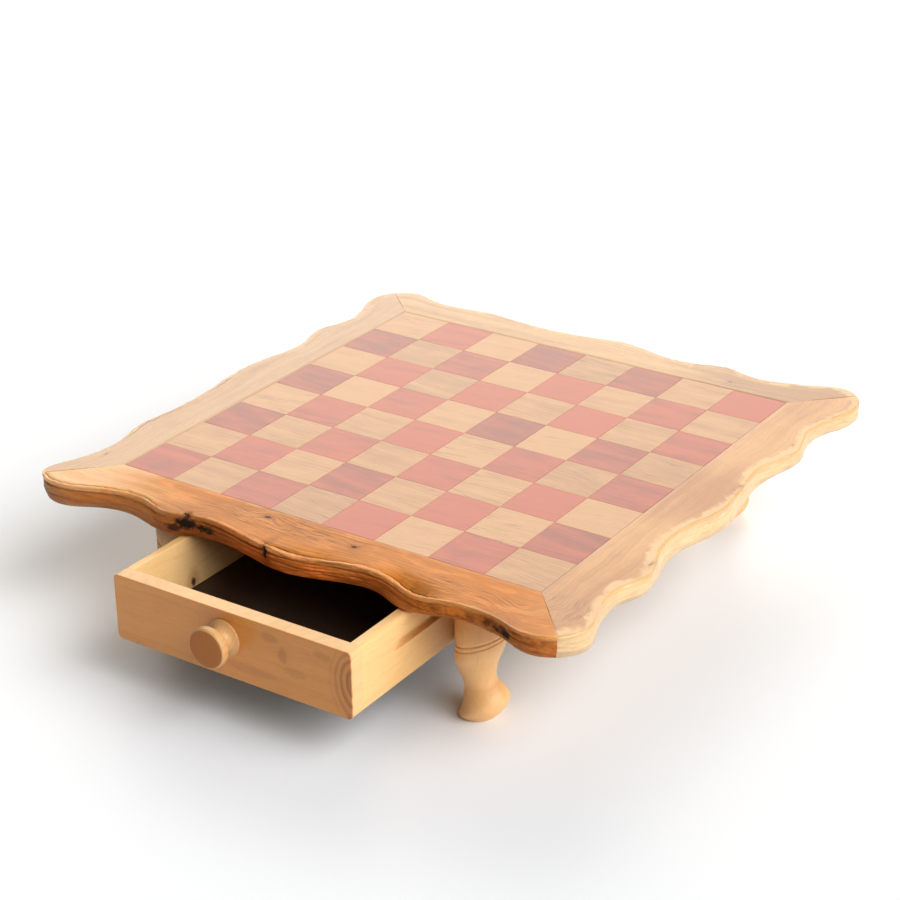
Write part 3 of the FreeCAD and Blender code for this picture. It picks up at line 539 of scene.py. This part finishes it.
# its knots and pockets of bark: place in mm, half length along the grain, half width, strength
FRONT_KNOTS = [
    ((-32.2, -161.1, 0), 2.8, 1.5, 0.85), ((33.1, -164.7, 0), 2.2, 1.6, 0.95),
    ((102.4, -169.7, 0), 2.6, 0.7, 0.55), ((97.0, -167.0, 0), 3.5, 0.5, 0.4),
    ((-75.3, -183.7, -0.4), 3.2, 2.2, 1.0), ((-75.5, -185.2, -6.8), 11.5, 5.4, 1.0),
    ((-83.5, -187.2, -10.5), 8.0, 4.2, 0.9), ((-63.5, -183.0, -8.6), 9.5, 4.0, 0.95),
    ((-12.5, -190.4, -5.0), 1.9, 6.5, 0.95), ((0.0, -187.5, 0), 9.0, 0.7, 0.5),
    ((3.0, -185.5, 0), 8.0, 0.5, 0.4), ((149.5, -190.8, -8.0), 10.5, 4.8, 1.0),
    ((139.0, -189.0, -6.0), 3.8, 2.2, 0.7),
]
front_finish = live_edge_finish(
    "front live edge", 0.0, pale=(0.80, 0.46, 0.185), middle=(0.60, 0.200, 0.026),
    deep=(0.20, 0.050, 0.011), streak=(0.060, 0.022, 0.012), sapwood=(0.74, 0.34, 0.095),
    edge=(0.76, 0.185, 0.022), sapwood_width=1.5, knots=FRONT_KNOTS,
    tone=[(0.0, -0.3), (0.10, 0.05), (0.18, 0.50), (0.26, 0.90), (0.62, 1.0), (0.80, 1.0),
          (0.92, 0.90), (1.0, 0.50)],
    figured=0.45, coat=0.05, front=True,
    clusters=[((-22.0, -162.5, 0), 26.0, 6.0, 0.9), ((120.0, -176.0, 0), 22.0, 5.0, 0.5)],
)
right_finish = live_edge_finish(
    "right live edge", 400.0, pale=(0.62, 0.300, 0.088), middle=(0.44, 0.165, 0.034),
    deep=(0.34, 0.110, 0.025), streak=(0.20, 0.070, 0.028), sapwood=(0.76, 0.490, 0.220),
    edge=(0.82, 0.580, 0.31), sapwood_width=5.5,
    knots=[((184.6, 95.1, 0), 0.7, 0.7, 0.8), ((182.8, 18.2, 0), 0.8, 2.2, 0.25),
           ((186.9, -91.2, -0.5), 1.2, 4.0, 0.55), ((183.4, 25.0, -0.5), 1.8, 1.8, 0.35)],
    tone=[(0.0, 0.8), (0.13, 0.7), (0.28, 0.3), (0.36, 0.15), (0.48, 0.9), (0.56, 0.8),
          (0.66, 0.0), (0.78, 0.3), (1.0, 0.4)],
    figured=0.35, edge_dark=0.15,
    clusters=[((172.0, -160.0, 0), 9.0, 6.0, 0.9), ((138.0, 102.0, 0), 5.0, 4.0, 0.5)],
)
back_finish = live_edge_finish(
    "back live edge", 800.0, pale=(0.62, 0.355, 0.150), middle=(0.40, 0.190, 0.068),
    deep=(0.32, 0.130, 0.042), streak=(0.20, 0.080, 0.034), sapwood=(0.76, 0.48, 0.21),
    edge=(0.46, 0.20, 0.06), sapwood_width=4.0, knots=[((105.4, 163.0, 0), 1.8, 1.1, 0.6)],
    tone=[(0.0, 1.1), (0.13, 1.0), (0.22, 0.75), (0.33, 0.35), (0.45, 0.1), (0.7, 0.3),
          (1.0, 0.3)], figured=0.5,
)
left_finish = live_edge_finish(
    "left live edge", 1200.0, pale=(0.54, 0.315, 0.155), middle=(0.41, 0.200, 0.082),
    deep=(0.30, 0.130, 0.050), streak=(0.19, 0.076, 0.034), sapwood=(0.70, 0.42, 0.18),
    edge=(0.38, 0.15, 0.045), sapwood_width=3.0, knots=[((-172.6, -146.8, 0), 0.8, 2.6, 0.6)],
    tone=[(0.0, 0.3), (0.4, 0.35), (0.7, 0.2), (1.0, 0.15)], figured=0.5,
)
# a tip says which way a mitre runs from the field's corner: along the board, and outwards
for side, turns, first_tip, second_tip, ruggedness, ridged, bead, bevel, finish, pits, rolls in [
    ("front", 0, (0.22, 0.22), (0.22, 0.25), 1.0, 1.0, 1.0, 1.4, front_finish,
     FRONT_PITS, FRONT_ROLLS),
    ("right", 1, (0.25, 0.22), (0.22, 0.22), 1.4, 0.25, 0.0, 2.0, right_finish, [], []),
    ("back", 2, (0.22, 0.22), (0.20, 0.19), 0.9, 0.7, 0.3, 2.4, back_finish, [], []),
    ("left", 3, (0.19, 0.20), (0.22, 0.22), 0.9, 0.8, 0.6, 1.8, left_finish, [], []),
]:
    edge_board = live_edge_board(side, turns, first_tip, second_tip, ruggedness, ridged, bead,
                                 bevel, pits, rolls)
    edge_board.data.materials.append(finish)

# ------------------------------------------------------------------------------ core board
# A plywood panel let into the frame's rabbet from below; the squares are glued on it.
# Only its underside shows, with the plain pale face veneer.
WELD, FLAT_TURN, SHARP_TURN = 0.002 * MM, 0.8, 35   # the turns are between faces, in degrees


def eased(name, ease, body, finish, segments=2):
    """A copy of a plain piece with its sharp edges eased, standing for it."""
    mesh = bmesh.new()
    mesh.from_mesh(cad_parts[name].data)
    bmesh.ops.remove_doubles(mesh, verts=mesh.verts, dist=WELD)
    bmesh.ops.dissolve_limit(mesh, angle_limit=math.radians(FLAT_TURN), verts=mesh.verts,
                             edges=mesh.edges)
    sharp = [edge for edge in mesh.edges
             if edge.is_manifold and edge.calc_face_angle() > math.radians(SHARP_TURN)]
    bmesh.ops.bevel(mesh, geom=sharp, offset=ease, segments=segments, profile=0.6,
                    affect="EDGES", clamp_overlap=True)
    piece = made_piece(f"{name}_piece", mesh, 40)
    flat_look = piece.modifiers.new("flat faces", "WEIGHTED_NORMAL")
    flat_look.keep_sharp = True
    piece.data.materials.append(finish)
    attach(piece, body)
    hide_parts(name)
    return piece


PINE_ROT = (0.035, 0.017, 0.009)


def sawn_wood(name, run, pith, pale, deep, streak, rings=2.6, waver=1.4, streak_share=0.5,
              knots=(), coat=0.25, growth_knots=(), spread=0.45, stains=(), swirl=None,
              painted_light_tint=None):
    """Sawn wood with its grain along one axis and its pith at a place on the other two, in mm."""
    material, x, y, z = new_finish(name)
    along, across, depth = {"X": (x, y, z), "Y": (y, x, z), "Z": (z, x, y)}[run]
    growth = length_of((less(across, pith[0]), less(depth, pith[1])))
    for centre, lift, size in growth_knots:
        away = length_of([less(*pair) for pair in zip((x, y, z), centre)])
        growth = plus(growth, between(away, 0.0, size, lift, 0.0))
    figure = grain_figure(along, growth, depth, rings, waver)
    ragged = cloud((x, y, z), (2.4, 2.4, 2.4), 3.0, 0.6)
    blotch = cloud((x, y, z), (30, 30, 30), 2.0)
    deepened = swayed(times(figure["ring"], spread), figure["bands"], 0.8)
    deepened = swayed(deepened, blotch, 0.5)
    colour = blended(between(deepened, -0.25, 0.75), pale, deep)
    colour = blended(times(figure["streaks"], streak_share), colour, streak)
    if stains:
        smear = cloud((x, y, z), (9, 9, 6), 4.0, 0.62, 1.2)
        soft, wide = knot_marks(x, y, z, stains, smear)
        colour = blended(times(wide, 0.30), colour, deep)
        colour = blended(times(soft, 0.50), colour, streak)
    if swirl:
        # the rings round a branch, seen where the board was cut through it
        centre, spacing, reach, squash = swirl
        parts = [less(*pair) for pair in zip((x, y, z), centre)]
        away = length_of([times(*pair) for pair in zip(parts, squash)])
        wobble = times(less(blotch, 0.5), 9.0)
        circle = maths("FRACT", maths("DIVIDE", plus(away, wobble), spacing))
        line = times(between(circle, 0.10, 0.50), between(circle, 0.60, 0.95, 1.0, 0.0))
        inner = between(away, 0.35 * reach, reach, 1.0, 0.0)
        inner = times(inner, between(y, centre[1] + 1.4, centre[1] + 0.6))
        heart = times(between(away, 0.0, 0.35 * reach, 0.7, 0.0), inner)
        colour = blended(times(inner, 0.62), colour, deep)
        colour = blended(heart, colour, streak)
        colour = blended(times(line, times(inner, 0.66)), colour, streak)
    if knots:
        dark, halo = knot_marks(x, y, z, knots, ragged)
        colour = blended(times(halo, 0.5), colour, streak)
        colour = blended(dark, colour, PINE_ROT)
    if painted_light_tint:
        # painted light and shade: one side is tinted darker than the rest; on the legs and the
        # drawer front this is painted shade, on the drawer sides it leaves the inside paler, as if
        # lit
        axis, start, end, tint = painted_light_tint
        skin = between((x, y, z)["XYZ".index(axis)], start, end)
        colour = blended(skin, colour, tint, "MULTIPLY")
    colour = fibre_shaded(colour, figure["fibres"], 0.90, 1.07)
    height = raised(figure["fibres"], figure["ring"], -0.4)
    roughness = raised(0.38, figure["fibres"], 0.12)
    return varnished(material, colour, height, roughness, coat=coat, coat_roughness=0.30, gloss=0.4)


plywood = sawn_wood("face veneer of the core", "X", (-160, -300), (0.64, 0.45, 0.26),
                    (0.50, 0.32, 0.17), (0.36, 0.21, 0.11), rings=7.0, waver=6.0, coat=0.0)
eased("core_board", 0.25 * MM, "table", plywood, 1)

# --------------------------------------------------------------------------- inlaid squares
# Sixty-four blocks in two woods, glued edge to edge on the core, sanded level with the frame
# and varnished.  The dark ones are stained red; each block was cut from another place.
SQUARE = 38.0                      # mm
SQUARE_EASE = 0.14 * MM


def square_finish(name, pale, deep, streak, ringed, often):
    """A block's wood, with its own stretch of grain and its own tone in every square."""
    material, x, y, z = new_finish(name)
    corner = HALF_FIELD / MM
    column = maths("FLOOR", maths("DIVIDE", plus(x, corner), SQUARE))
    rank = maths("FLOOR", maths("DIVIDE", plus(y, corner), SQUARE))
    cell = point((column, rank, 3.0))
    chance = node("ShaderNodeTexWhiteNoise", {"Vector": cell}, noise_dimensions="3D")
    lots = {0: chance.outputs["Color"]}
    first, second, third = node("ShaderNodeSeparateXYZ", lots).outputs
    along = raised(x, first, 900.0)
    tilt = swayed(0.0, third, 0.35)
    growth = raised(y, second, 700.0)
    across = growth
    growth = raised(growth, less(x, times(column, SQUARE)), tilt)
    growth = raised(growth, z, 0.6)
    figure = grain_figure(along, growth, z, rings=3.0, waver=3.4)
    blotch = cloud((along, across, z), (24, 13, 20), 2.0)
    tone = swayed(times(figure["ring"], ringed), third, 0.75)
    tone = swayed(tone, blotch, 0.9)
    tone = swayed(tone, figure["bands"], 1.1)
    colour = blended(between(tone, -0.35, 0.75), pale, deep)
    streaked = times(often, between(second, 0.2, 0.9))
    colour = blended(times(figure["streaks"], streaked), colour, streak)
    colour = fibre_shaded(colour, figure["fibres"], 0.88, 1.09)
    height = raised(figure["fibres"], figure["ring"], -0.4)
    roughness = raised(0.30, figure["fibres"], 0.10)
    return varnished(material, colour, height, roughness)


light_finish = square_finish("pale squares", (0.55, 0.275, 0.105), (0.39, 0.170, 0.056),
                             (0.17, 0.080, 0.038), ringed=0.38, often=0.75)
dark_finish = square_finish("red squares", (0.46, 0.062, 0.019), (0.22, 0.025, 0.011),
                            (0.09, 0.013, 0.010), ringed=0.20, often=0.15)
for rank in range(1, 9):
    eased(f"dark_squares_rank_{rank}", SQUARE_EASE, "table", dark_finish, 1)
    eased(f"light_squares_rank_{rank}", SQUARE_EASE, "table", light_finish, 1)

# ------------------------------------------------------------------------------ drawer case
# Two pine sides and a back glued under the top, tied to it by triangular glue blocks.  Hardwood
# runners for the drawer and a hardwood stop are glued and pinned inside.
CASE_PINE = [(0.76, 0.435, 0.180), (0.60, 0.295, 0.105), (0.40, 0.170, 0.065)]
case_pine = sawn_wood("case pine", "Y", (40, 60), *CASE_PINE, rings=3.4, waver=2.2)
back_pine = sawn_wood("case back pine", "X", (175, -30), *CASE_PINE, rings=3.4, waver=2.2)
runner_wood = sawn_wood("runner hardwood", "Y", (60, -60), (0.45, 0.26, 0.13), (0.33, 0.17, 0.08),
                        (0.20, 0.10, 0.05), rings=1.6, coat=0.05)
for name in ("case_left_side", "case_right_side"):
    eased(name, 0.8 * MM, "table", case_pine)
eased("case_back", 0.8 * MM, "table", back_pine)
eased("glue_blocks", 0.4 * MM, "table", case_pine)
for name in ("drawer_runner_left", "drawer_runner_right", "drawer_stop"):
    eased(name, 0.4 * MM, "table", runner_wood)

# ---------------------------------------------------------------------------------- drawer
# Pale pine boards, planed and varnished, their outer edges rounded by hand; the front is dowelled
# to the sides; a thin hardboard bottom, dark and painted darker as shade, slides in grooves.
DRAWER_EASE = 0.5 * MM
front_pine = sawn_wood(
    "drawer front pine", "X", (-228, -150), (0.84, 0.520, 0.235), (0.72, 0.385, 0.140),
    (0.33, 0.150, 0.070), rings=8.0, waver=3.4, streak_share=0.12, spread=0.22,
    stains=[((29, -240, -25), 7.0, 3.0, 0.6), ((38, -240, -33), 4.2, 6.0, 0.7),
            ((46, -240, -42), 10.0, 4.0, 0.4), ((66, -240, -25), 8.0, 4.0, 0.5),
            ((12, -240, -50), 24.0, 2.6, 0.45), ((83, -240, -59), 1.6, 1.2, 1.0)],
    swirl=((88, -240, -37), 3.9, 21.0, (1.0, 0.5, 0.66)),
    # painted shade on the front face, which is turned away from the light
    painted_light_tint=("Y", -239.2, -239.8, (0.86, 0.575, 0.29)),
)
eased("drawer_front", DRAWER_EASE, "drawer", front_pine)
eased("drawer_back", DRAWER_EASE, "drawer", front_pine)
for hand, sign in (("left", -1), ("right", 1)):
    # painted light: the inside is painted paler, as if lit, and the outer faces are tinted darker
    side_pine = sawn_wood(
        f"drawer {hand} side pine", "Y", (30, 40), (0.94, 0.680, 0.370), (0.86, 0.550, 0.250),
        (0.50, 0.240, 0.095), rings=4.2, waver=2.6, streak_share=0.12, spread=0.28,
        knots=[((-77.5, -179, -48.5), 3.0, 2.4, 0.95)],
        growth_knots=[((-78, -179, -48.5), 9, 14)],
        painted_light_tint=("X", sign * 77.4, sign * 78.2, (0.91, 0.79, 0.61)),
    )
    eased(f"drawer_{hand}_side", DRAWER_EASE, "drawer", side_pine)
shaded_hardboard, x, y, z = new_finish("hardboard in painted shade")
speckle = cloud((x, y, z), (0.8, 0.8, 0.8), 3.0, 0.7)
wash = cloud((x, y, z), (45, 60, 20), 3.0)
# the hardboard's own dark brown, painted darker still for the shade deep inside the drawer
shaded_board_colour = blended(between(speckle, 0.35, 0.70), (0.026, 0.013, 0.008), (0.050, 0.027, 0.016))
shaded_board_colour = blended(between(wash, 0.45, 0.75, 0.0, 0.6), shaded_board_colour, (0.050, 0.026, 0.013))
varnished(shaded_hardboard, shaded_board_colour, speckle, between(wash, 0.3, 0.7, 0.42, 0.58), coat=0.0,
          lift=0.03)
eased("drawer_bottom", 0.3 * MM, "drawer", shaded_hardboard, 1)
dowel_wood = sawn_wood("dowel hardwood", "Y", (0, 0), (0.55, 0.34, 0.18), (0.44, 0.25, 0.12),
                       (0.3, 0.16, 0.08), rings=1.2, coat=0.0)
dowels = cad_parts["drawer_dowels"]
dowels.data.materials.clear()
dowels.data.materials.append(dowel_wood)

# ------------------------------------------------------------------------- knob and its screw
# The knob is turned from one piece with the grain running through it, so its face shows end
# grain; a pan-head screw with a cross recess holds it from inside the drawer.
KNOB_X, KNOB_FRONT, KNOB_Z = -4 * MM, -240 * MM, -34.8 * MM
knob_wood, x, y, z = new_finish("turned knob")
knob_growth = length_of((less(x, -13.0), less(z, -27.0)))
figure = grain_figure(y, knob_growth, z, rings=1.9, waver=0.8)
end_grain = between(y, -255.7, -255.95)
side_colour = blended(times(figure["ring"], 0.5), (0.60, 0.33, 0.130), (0.48, 0.225, 0.080))
pores = cloud((x, z, y), (0.5, 0.5, 6.0), 3.0, 0.7)
# the end grain on the face is darker, and is painted darker still as shade on the face turned from
# the light
shaded_face_colour = blended(times(figure["ring"], 0.35), (0.43, 0.155, 0.042), (0.34, 0.110, 0.028))
shaded_face_colour = blended(between(pores, 0.45, 0.7, 0.0, 0.3), shaded_face_colour, (0.46, 0.18, 0.06))
knob_colour = blended(end_grain, side_colour, shaded_face_colour)
knob_rough = raised(0.34, figure["fibres"], 0.12)
knob_gloss = between(end_grain, 0.0, 1.0, 0.40, 0.10)   # end grain drinks the varnish
varnished(knob_wood, knob_colour, figure["fibres"], knob_rough, coat=0.0, gloss=knob_gloss)


def turned(name, outline, spokes, centre, axis_turn):
    """A turning: an outline of (radius, distance) pairs in mm swept round an axis."""
    mesh = bmesh.new()
    rings = []
    for radius, distance in outline:
        across = radius * MM
        ring = []
        for spoke in range(spokes if radius else 1):
            angle = 2 * math.pi * spoke / spokes
            ring.append(mesh.verts.new((across * math.cos(angle), across * math.sin(angle),
                                        distance * MM)))
        rings.append(ring)
    for low, high in zip(rings, rings[1:]):
        for spoke in range(spokes):
            after = (spoke + 1) % spokes
            if len(low) == 1:
                mesh.faces.new((low[0], high[spoke], high[after]))
            elif len(high) == 1:
                mesh.faces.new((low[spoke], high[0], low[after]))
            else:
                mesh.faces.new((low[spoke], high[spoke], high[after], low[after]))
    mesh.transform(Matrix.Translation(centre) @ axis_turn)
    return made_piece(name, mesh, 40)


def arc(centre_r, centre_d, radius, start, stop, steps):
    """Points of (radius, distance) on a small arc of the outline, angles in degrees."""
    points = []
    for step in range(steps + 1):
        angle = math.radians(start + (stop - start) * step / steps)
        points.append((centre_r + radius * math.cos(angle), centre_d + radius * math.sin(angle)))
    return points


towards_player = Matrix.Rotation(math.radians(90), 4, "X")
away_from_player = Matrix.Rotation(math.radians(-90), 4, "X")
knob_outline = [(0, 0), (11.3, 0)] + arc(11.3, 0.5, 0.5, -90, 0, 3) + arc(11.2, 1.0, 0.6, 0, 70, 3)
knob_outline += [(9.9, 2.5), (8.7, 3.9), (7.9, 5.3), (7.6, 6.5), (7.9, 7.7), (8.8, 8.9),
                 (10.0, 9.8), (11.0, 10.35)]
knob_outline += arc(11.0, 11.9, 1.6, -70, 0, 5) + arc(11.0, 14.35, 1.6, 0, 80, 6)
knob_outline += [(8.0, 15.98), (4.0, 16.0), (0, 16.0)]
knob = turned("knob", knob_outline, 96, Vector((KNOB_X, KNOB_FRONT, KNOB_Z)), towards_player)
knob.data.materials.append(knob_wood)
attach(knob, "drawer")
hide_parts("drawer_knob")

zinc, x, y, z = new_finish("zinc-plated steel")
crystals = cloud((x, y, z), (0.9, 0.9, 0.9), 4.0, 0.6)
zinc_colour = blended(crystals, (0.42, 0.42, 0.40), (0.62, 0.61, 0.57))
fill(shader_of(zinc), {
    "Metallic": 1.0, "Base Color": zinc_colour,
    "Roughness": between(crystals, 0.3, 0.7, 0.28, 0.45),
})
SCREW_OUT, RECESS_OUT = 10 * MM, 12.6 * MM   # from the drawer's front face to the screw's head
head_outline = [(0, 0), (3.9, 0), (4.0, 0.15), (4.0, 0.9)] + arc(2.4, 0.8, 1.6, 5, 75, 6)
head_outline += [(1.6, 2.4), (0.0, 2.4)]
screw_head = turned("knob_screw_head", head_outline, 48,
                    Vector((KNOB_X, KNOB_FRONT + SCREW_OUT, KNOB_Z)), away_from_player)
recess = bmesh.new()
for turn_angle in (0, 90):
    arm = bmesh.ops.create_cube(recess, size=1.0)["verts"]
    bmesh.ops.scale(recess, vec=(4.2 * MM, 2.4 * MM, 0.75 * MM), verts=arm)
    bmesh.ops.rotate(recess, cent=(0, 0, 0), verts=arm,
                     matrix=Matrix.Rotation(math.radians(turn_angle), 3, "Y"))
bmesh.ops.translate(recess, vec=(KNOB_X, KNOB_FRONT + RECESS_OUT, KNOB_Z), verts=recess.verts)
cutter = made_piece("recess_cutter", recess)
cut = screw_head.modifiers.new("cross recess", "BOOLEAN")
cut.operation = "DIFFERENCE"
cut.solver = "EXACT"
cut.use_self = True
cut.object = cutter
bpy.context.view_layer.update()
settled = screw_head.evaluated_get(bpy.context.evaluated_depsgraph_get())
cut_mesh = bpy.data.meshes.new_from_object(settled)
screw_head.modifiers.clear()
screw_head.data = cut_mesh
bpy.data.objects.remove(cutter)
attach(screw_head, "drawer")
for steel_piece in (screw_head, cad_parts["knob_screw"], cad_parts["leg_bolts"]):
    steel_piece.data.materials.clear()
    steel_piece.data.materials.append(zinc)

# ------------------------------------------------------------------------------------ legs
# Each leg is carved with a knife from a turned blank with two incised rings: a barrel, a thin
# ankle and a foot kicked outwards over a flat sole, sanded soft and waxed.
LEG_HEIGHT, LEG_TOP, LEG_LEAN, LEG_KICK = 76.0, -16.0, 19.0, 2.0   # mm, mm, degrees, mm
LEG_X, LEG_Y = 111, 151            # mm from the middle of the table
LEG_SPOKES = 72
LEG_SECTIONS = [
    # share of the height, radius, share of the kick, share of the lean
    (1.000, 14.8, 0.0, 0.0), (0.840, 15.2, 0.0, 0.4), (0.680, 15.6, 0.0, 0.9),
    (0.540, 15.6, -0.2, 1.1), (0.410, 11.9, -0.7, 0.95), (0.285, 9.9, -0.25, 0.85),
    (0.220, 11.64, 0.55, 1.1), (0.160, 13.93, 0.95, 1.35), (0.090, 16.1, 1.0, 1.23),
    (0.045, 14.64, 0.4, 0.65), (0.000, 11.8, -1.2, 0.0),
]
RING_PLACES = [(2.13, 0.75), (2.42, 0.70)]   # place between the sections, and depth in mm
RING_WIDTH, RING_NEAR = 0.042, 0.09          # as shares of the space between two sections
PLAIN_STEP, RING_STEP = 0.1, 0.0125
PLAIN_TOP, PLAIN_SOLE = 0.2, 0.05            # ends that the knife has left alone


def eased_through(before, start, stop, after, share):
    """A smooth curve through four numbers, from start to stop."""
    slope_in, slope_out = (stop - before) / 2, (after - start) / 2
    square, cube = share * share, share ** 3
    return ((2 * cube - 3 * square + 1) * start + (cube - 2 * square + share) * slope_in
            + (3 * square - 2 * cube) * stop + (cube - square) * slope_out)


def carved_leg(corner, axis_x, axis_y, outward):
    """A leg in its corner; outward is -1 or 1, the way that its foot kicks along X."""
    last = len(LEG_SECTIONS) - 1
    places = []
    place = 0.0
    while place < last:
        places.append(place)
        near_ring = any(abs(place - ring) < RING_NEAR for ring, deep in RING_PLACES)
        place = round(place + (RING_STEP if near_ring else PLAIN_STEP), 4)
    places.append(float(last))
    sections = []
    for height_share, radius, kick, lean in LEG_SECTIONS:
        tilt = math.radians(lean * LEG_LEAN)
        height = LEG_TOP - LEG_HEIGHT * (1 - height_share)
        ring = []
        for spoke in range(LEG_SPOKES):
            angle = 2 * math.pi * spoke / LEG_SPOKES
            out = radius * math.cos(angle)
            ring.append(Vector((kick * LEG_KICK + out * math.cos(tilt), radius * math.sin(angle),
                                height + out * math.sin(tilt))))
        sections.append(ring)
    mesh = bmesh.new()
    rows = []
    for place in places:
        index = min(int(place), last - 1)
        share = place - index
        some = range(0, LEG_SPOKES, 8)
        centre = sum((sections[index][spoke].lerp(sections[index + 1][spoke], share)
                      for spoke in some), Vector()) / len(some)
        row = []
        for spoke in range(LEG_SPOKES):
            four = [sections[max(0, min(last, index + step))][spoke] for step in (-1, 0, 1, 2)]
            spot = Vector([eased_through(*[corner_of[axis] for corner_of in four], share)
                           for axis in range(3)])
            outwards = spot - centre
            outwards.normalize()
            for ring, deep in RING_PLACES:
                spot -= outwards * deep * hump(place - ring, RING_WIDTH)
            if PLAIN_TOP < place < last - PLAIN_SOLE:
                knife = Vector((axis_x * 30 + spot.x * 0.09, axis_y * 30 + spot.y * 0.09,
                                spot.z * 0.06))
                spot -= outwards * (0.16 + 0.22 * noise.fractal(knife, 1.0, 2.0, 3))
            spot.z = min(max(spot.z, LEG_TOP - LEG_HEIGHT), LEG_TOP)
            placed = Vector((spot.x * outward, spot.y * outward, spot.z)) * MM
            row.append(mesh.verts.new(Vector((axis_x, axis_y, 0)) + placed))
        rows.append(row)
    for high, low in zip(rows, rows[1:]):
        for spoke in range(LEG_SPOKES):
            after = (spoke + 1) % LEG_SPOKES
            mesh.faces.new((high[spoke], low[spoke], low[after], high[after]))
    mesh.faces.new(rows[0])
    mesh.faces.new(rows[-1][::-1])
    piece = made_piece(f"carved_leg_{corner}", mesh, 50)
    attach(piece, "table")
    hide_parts(f"leg_{corner}")
    return piece


# painted shade on the legs' tops, deepest on the front-left leg
SHADED_TOP, DARK_TOP = (0.80, 0.64, 0.48), (0.42, 0.29, 0.20)   # painted shade under the table's rim
for corner, side_x, side_y, top_shade in (
    ("front_left", -1, -1, DARK_TOP), ("front_right", 1, -1, SHADED_TOP),
    ("back_left", -1, 1, SHADED_TOP), ("back_right", 1, 1, SHADED_TOP),
):
    leg_wood = sawn_wood(
        f"leg wood {corner}", "Z", (side_x * LEG_X + 14, side_y * LEG_Y + 9),
        (0.88, 0.510, 0.220), (0.78, 0.410, 0.150), (0.56, 0.255, 0.090), rings=5.0, waver=2.2,
        streak_share=0.08, spread=0.16, coat=0.06, painted_light_tint=("Z", -44.0, -24.0, top_shade),
    )
    leg = carved_leg(corner, side_x * LEG_X * MM, side_y * LEG_Y * MM, side_x)
    leg.data.materials.append(leg_wood)

# ------------------------------------------------------------------ floor, light and camera
# The table stands on a plain pale floor in soft light from a high window to its right.
FLOOR = -92 * MM
floor_mesh = bmesh.new()
bmesh.ops.create_grid(floor_mesh, x_segments=8, y_segments=8, size=6.0)
floor = made_piece("floor", floor_mesh)
floor.location = (0, 0, FLOOR)
floor_paint, x, y, z = new_finish("pale floor")
floor_cloud = cloud((x, y, z), (400, 400, 400), 3.0)
floor_colour = blended(floor_cloud, (0.835, 0.865, 0.895), (0.855, 0.885, 0.915))
fill(shader_of(floor_paint),
     {"Base Color": floor_colour, "Roughness": 0.35, "Specular IOR Level": 0.2})
floor.data.materials.append(floor_paint)

AMBIENT = 0.07
world = bpy.data.worlds.new("studio")
world.use_nodes = True
sky = world.node_tree
heading = node("ShaderNodeTexCoord", {}, sky).outputs["Generated"]
glow = AMBIENT
for direction, low, high, strength in [
    ((0.780, -0.110, 0.616), 0.84, 1.0, 6.3),     # a window on the right
    ((0.765, 0.191, 0.616), 0.84, 1.0, 1.9),      # its far end
    ((0.951, 0.0, 0.309), 0.62, 1.0, 0.24),       # the wall round it
    ((-0.574, 0.0, 0.819), 0.50, 1.0, 0.22),      # pale ceiling
    ((-0.490, 0.742, 0.457), 0.80, 1.0, 2.7),     # a second window behind, warmer
]:
    sockets = {0: heading, 1: tuple(Vector(direction).normalized())}
    facing = node("ShaderNodeVectorMath", sockets, operation="DOT_PRODUCT").outputs["Value"]
    glow = plus(between(facing, low, high, 0.0, strength), glow)
# facing is now how near a direction is to the second window
light_colour = blended(between(facing, 0.70, 0.86), (1.0, 1.0, 1.0), (1.0, 0.91, 0.80))
fill(sky.nodes["Background"], {"Color": light_colour, "Strength": glow})
bpy.context.scene.world = world

CAMERA_PLACE, CAMERA_AIM = Vector((0.7094, -1.0593, 0.5862)), Vector((0.0067, -0.0262, 0.0))
CAMERA_ROLL = -0.80                # degrees
camera_data = bpy.data.cameras.new("camera")
camera_data.lens = 87.96
camera_data.sensor_width = 36.0
camera_data.clip_start = 0.05
camera = bpy.data.objects.new("camera", camera_data)
camera.location = CAMERA_PLACE
look = (CAMERA_AIM - CAMERA_PLACE).to_track_quat("-Z", "Y").to_matrix()
camera.rotation_euler = (look @ Matrix.Rotation(math.radians(CAMERA_ROLL), 3, "Z")).to_euler()
bpy.context.scene.collection.objects.link(camera)
bpy.context.scene.camera = camera
bpy.context.scene.view_settings.view_transform = "Standard"
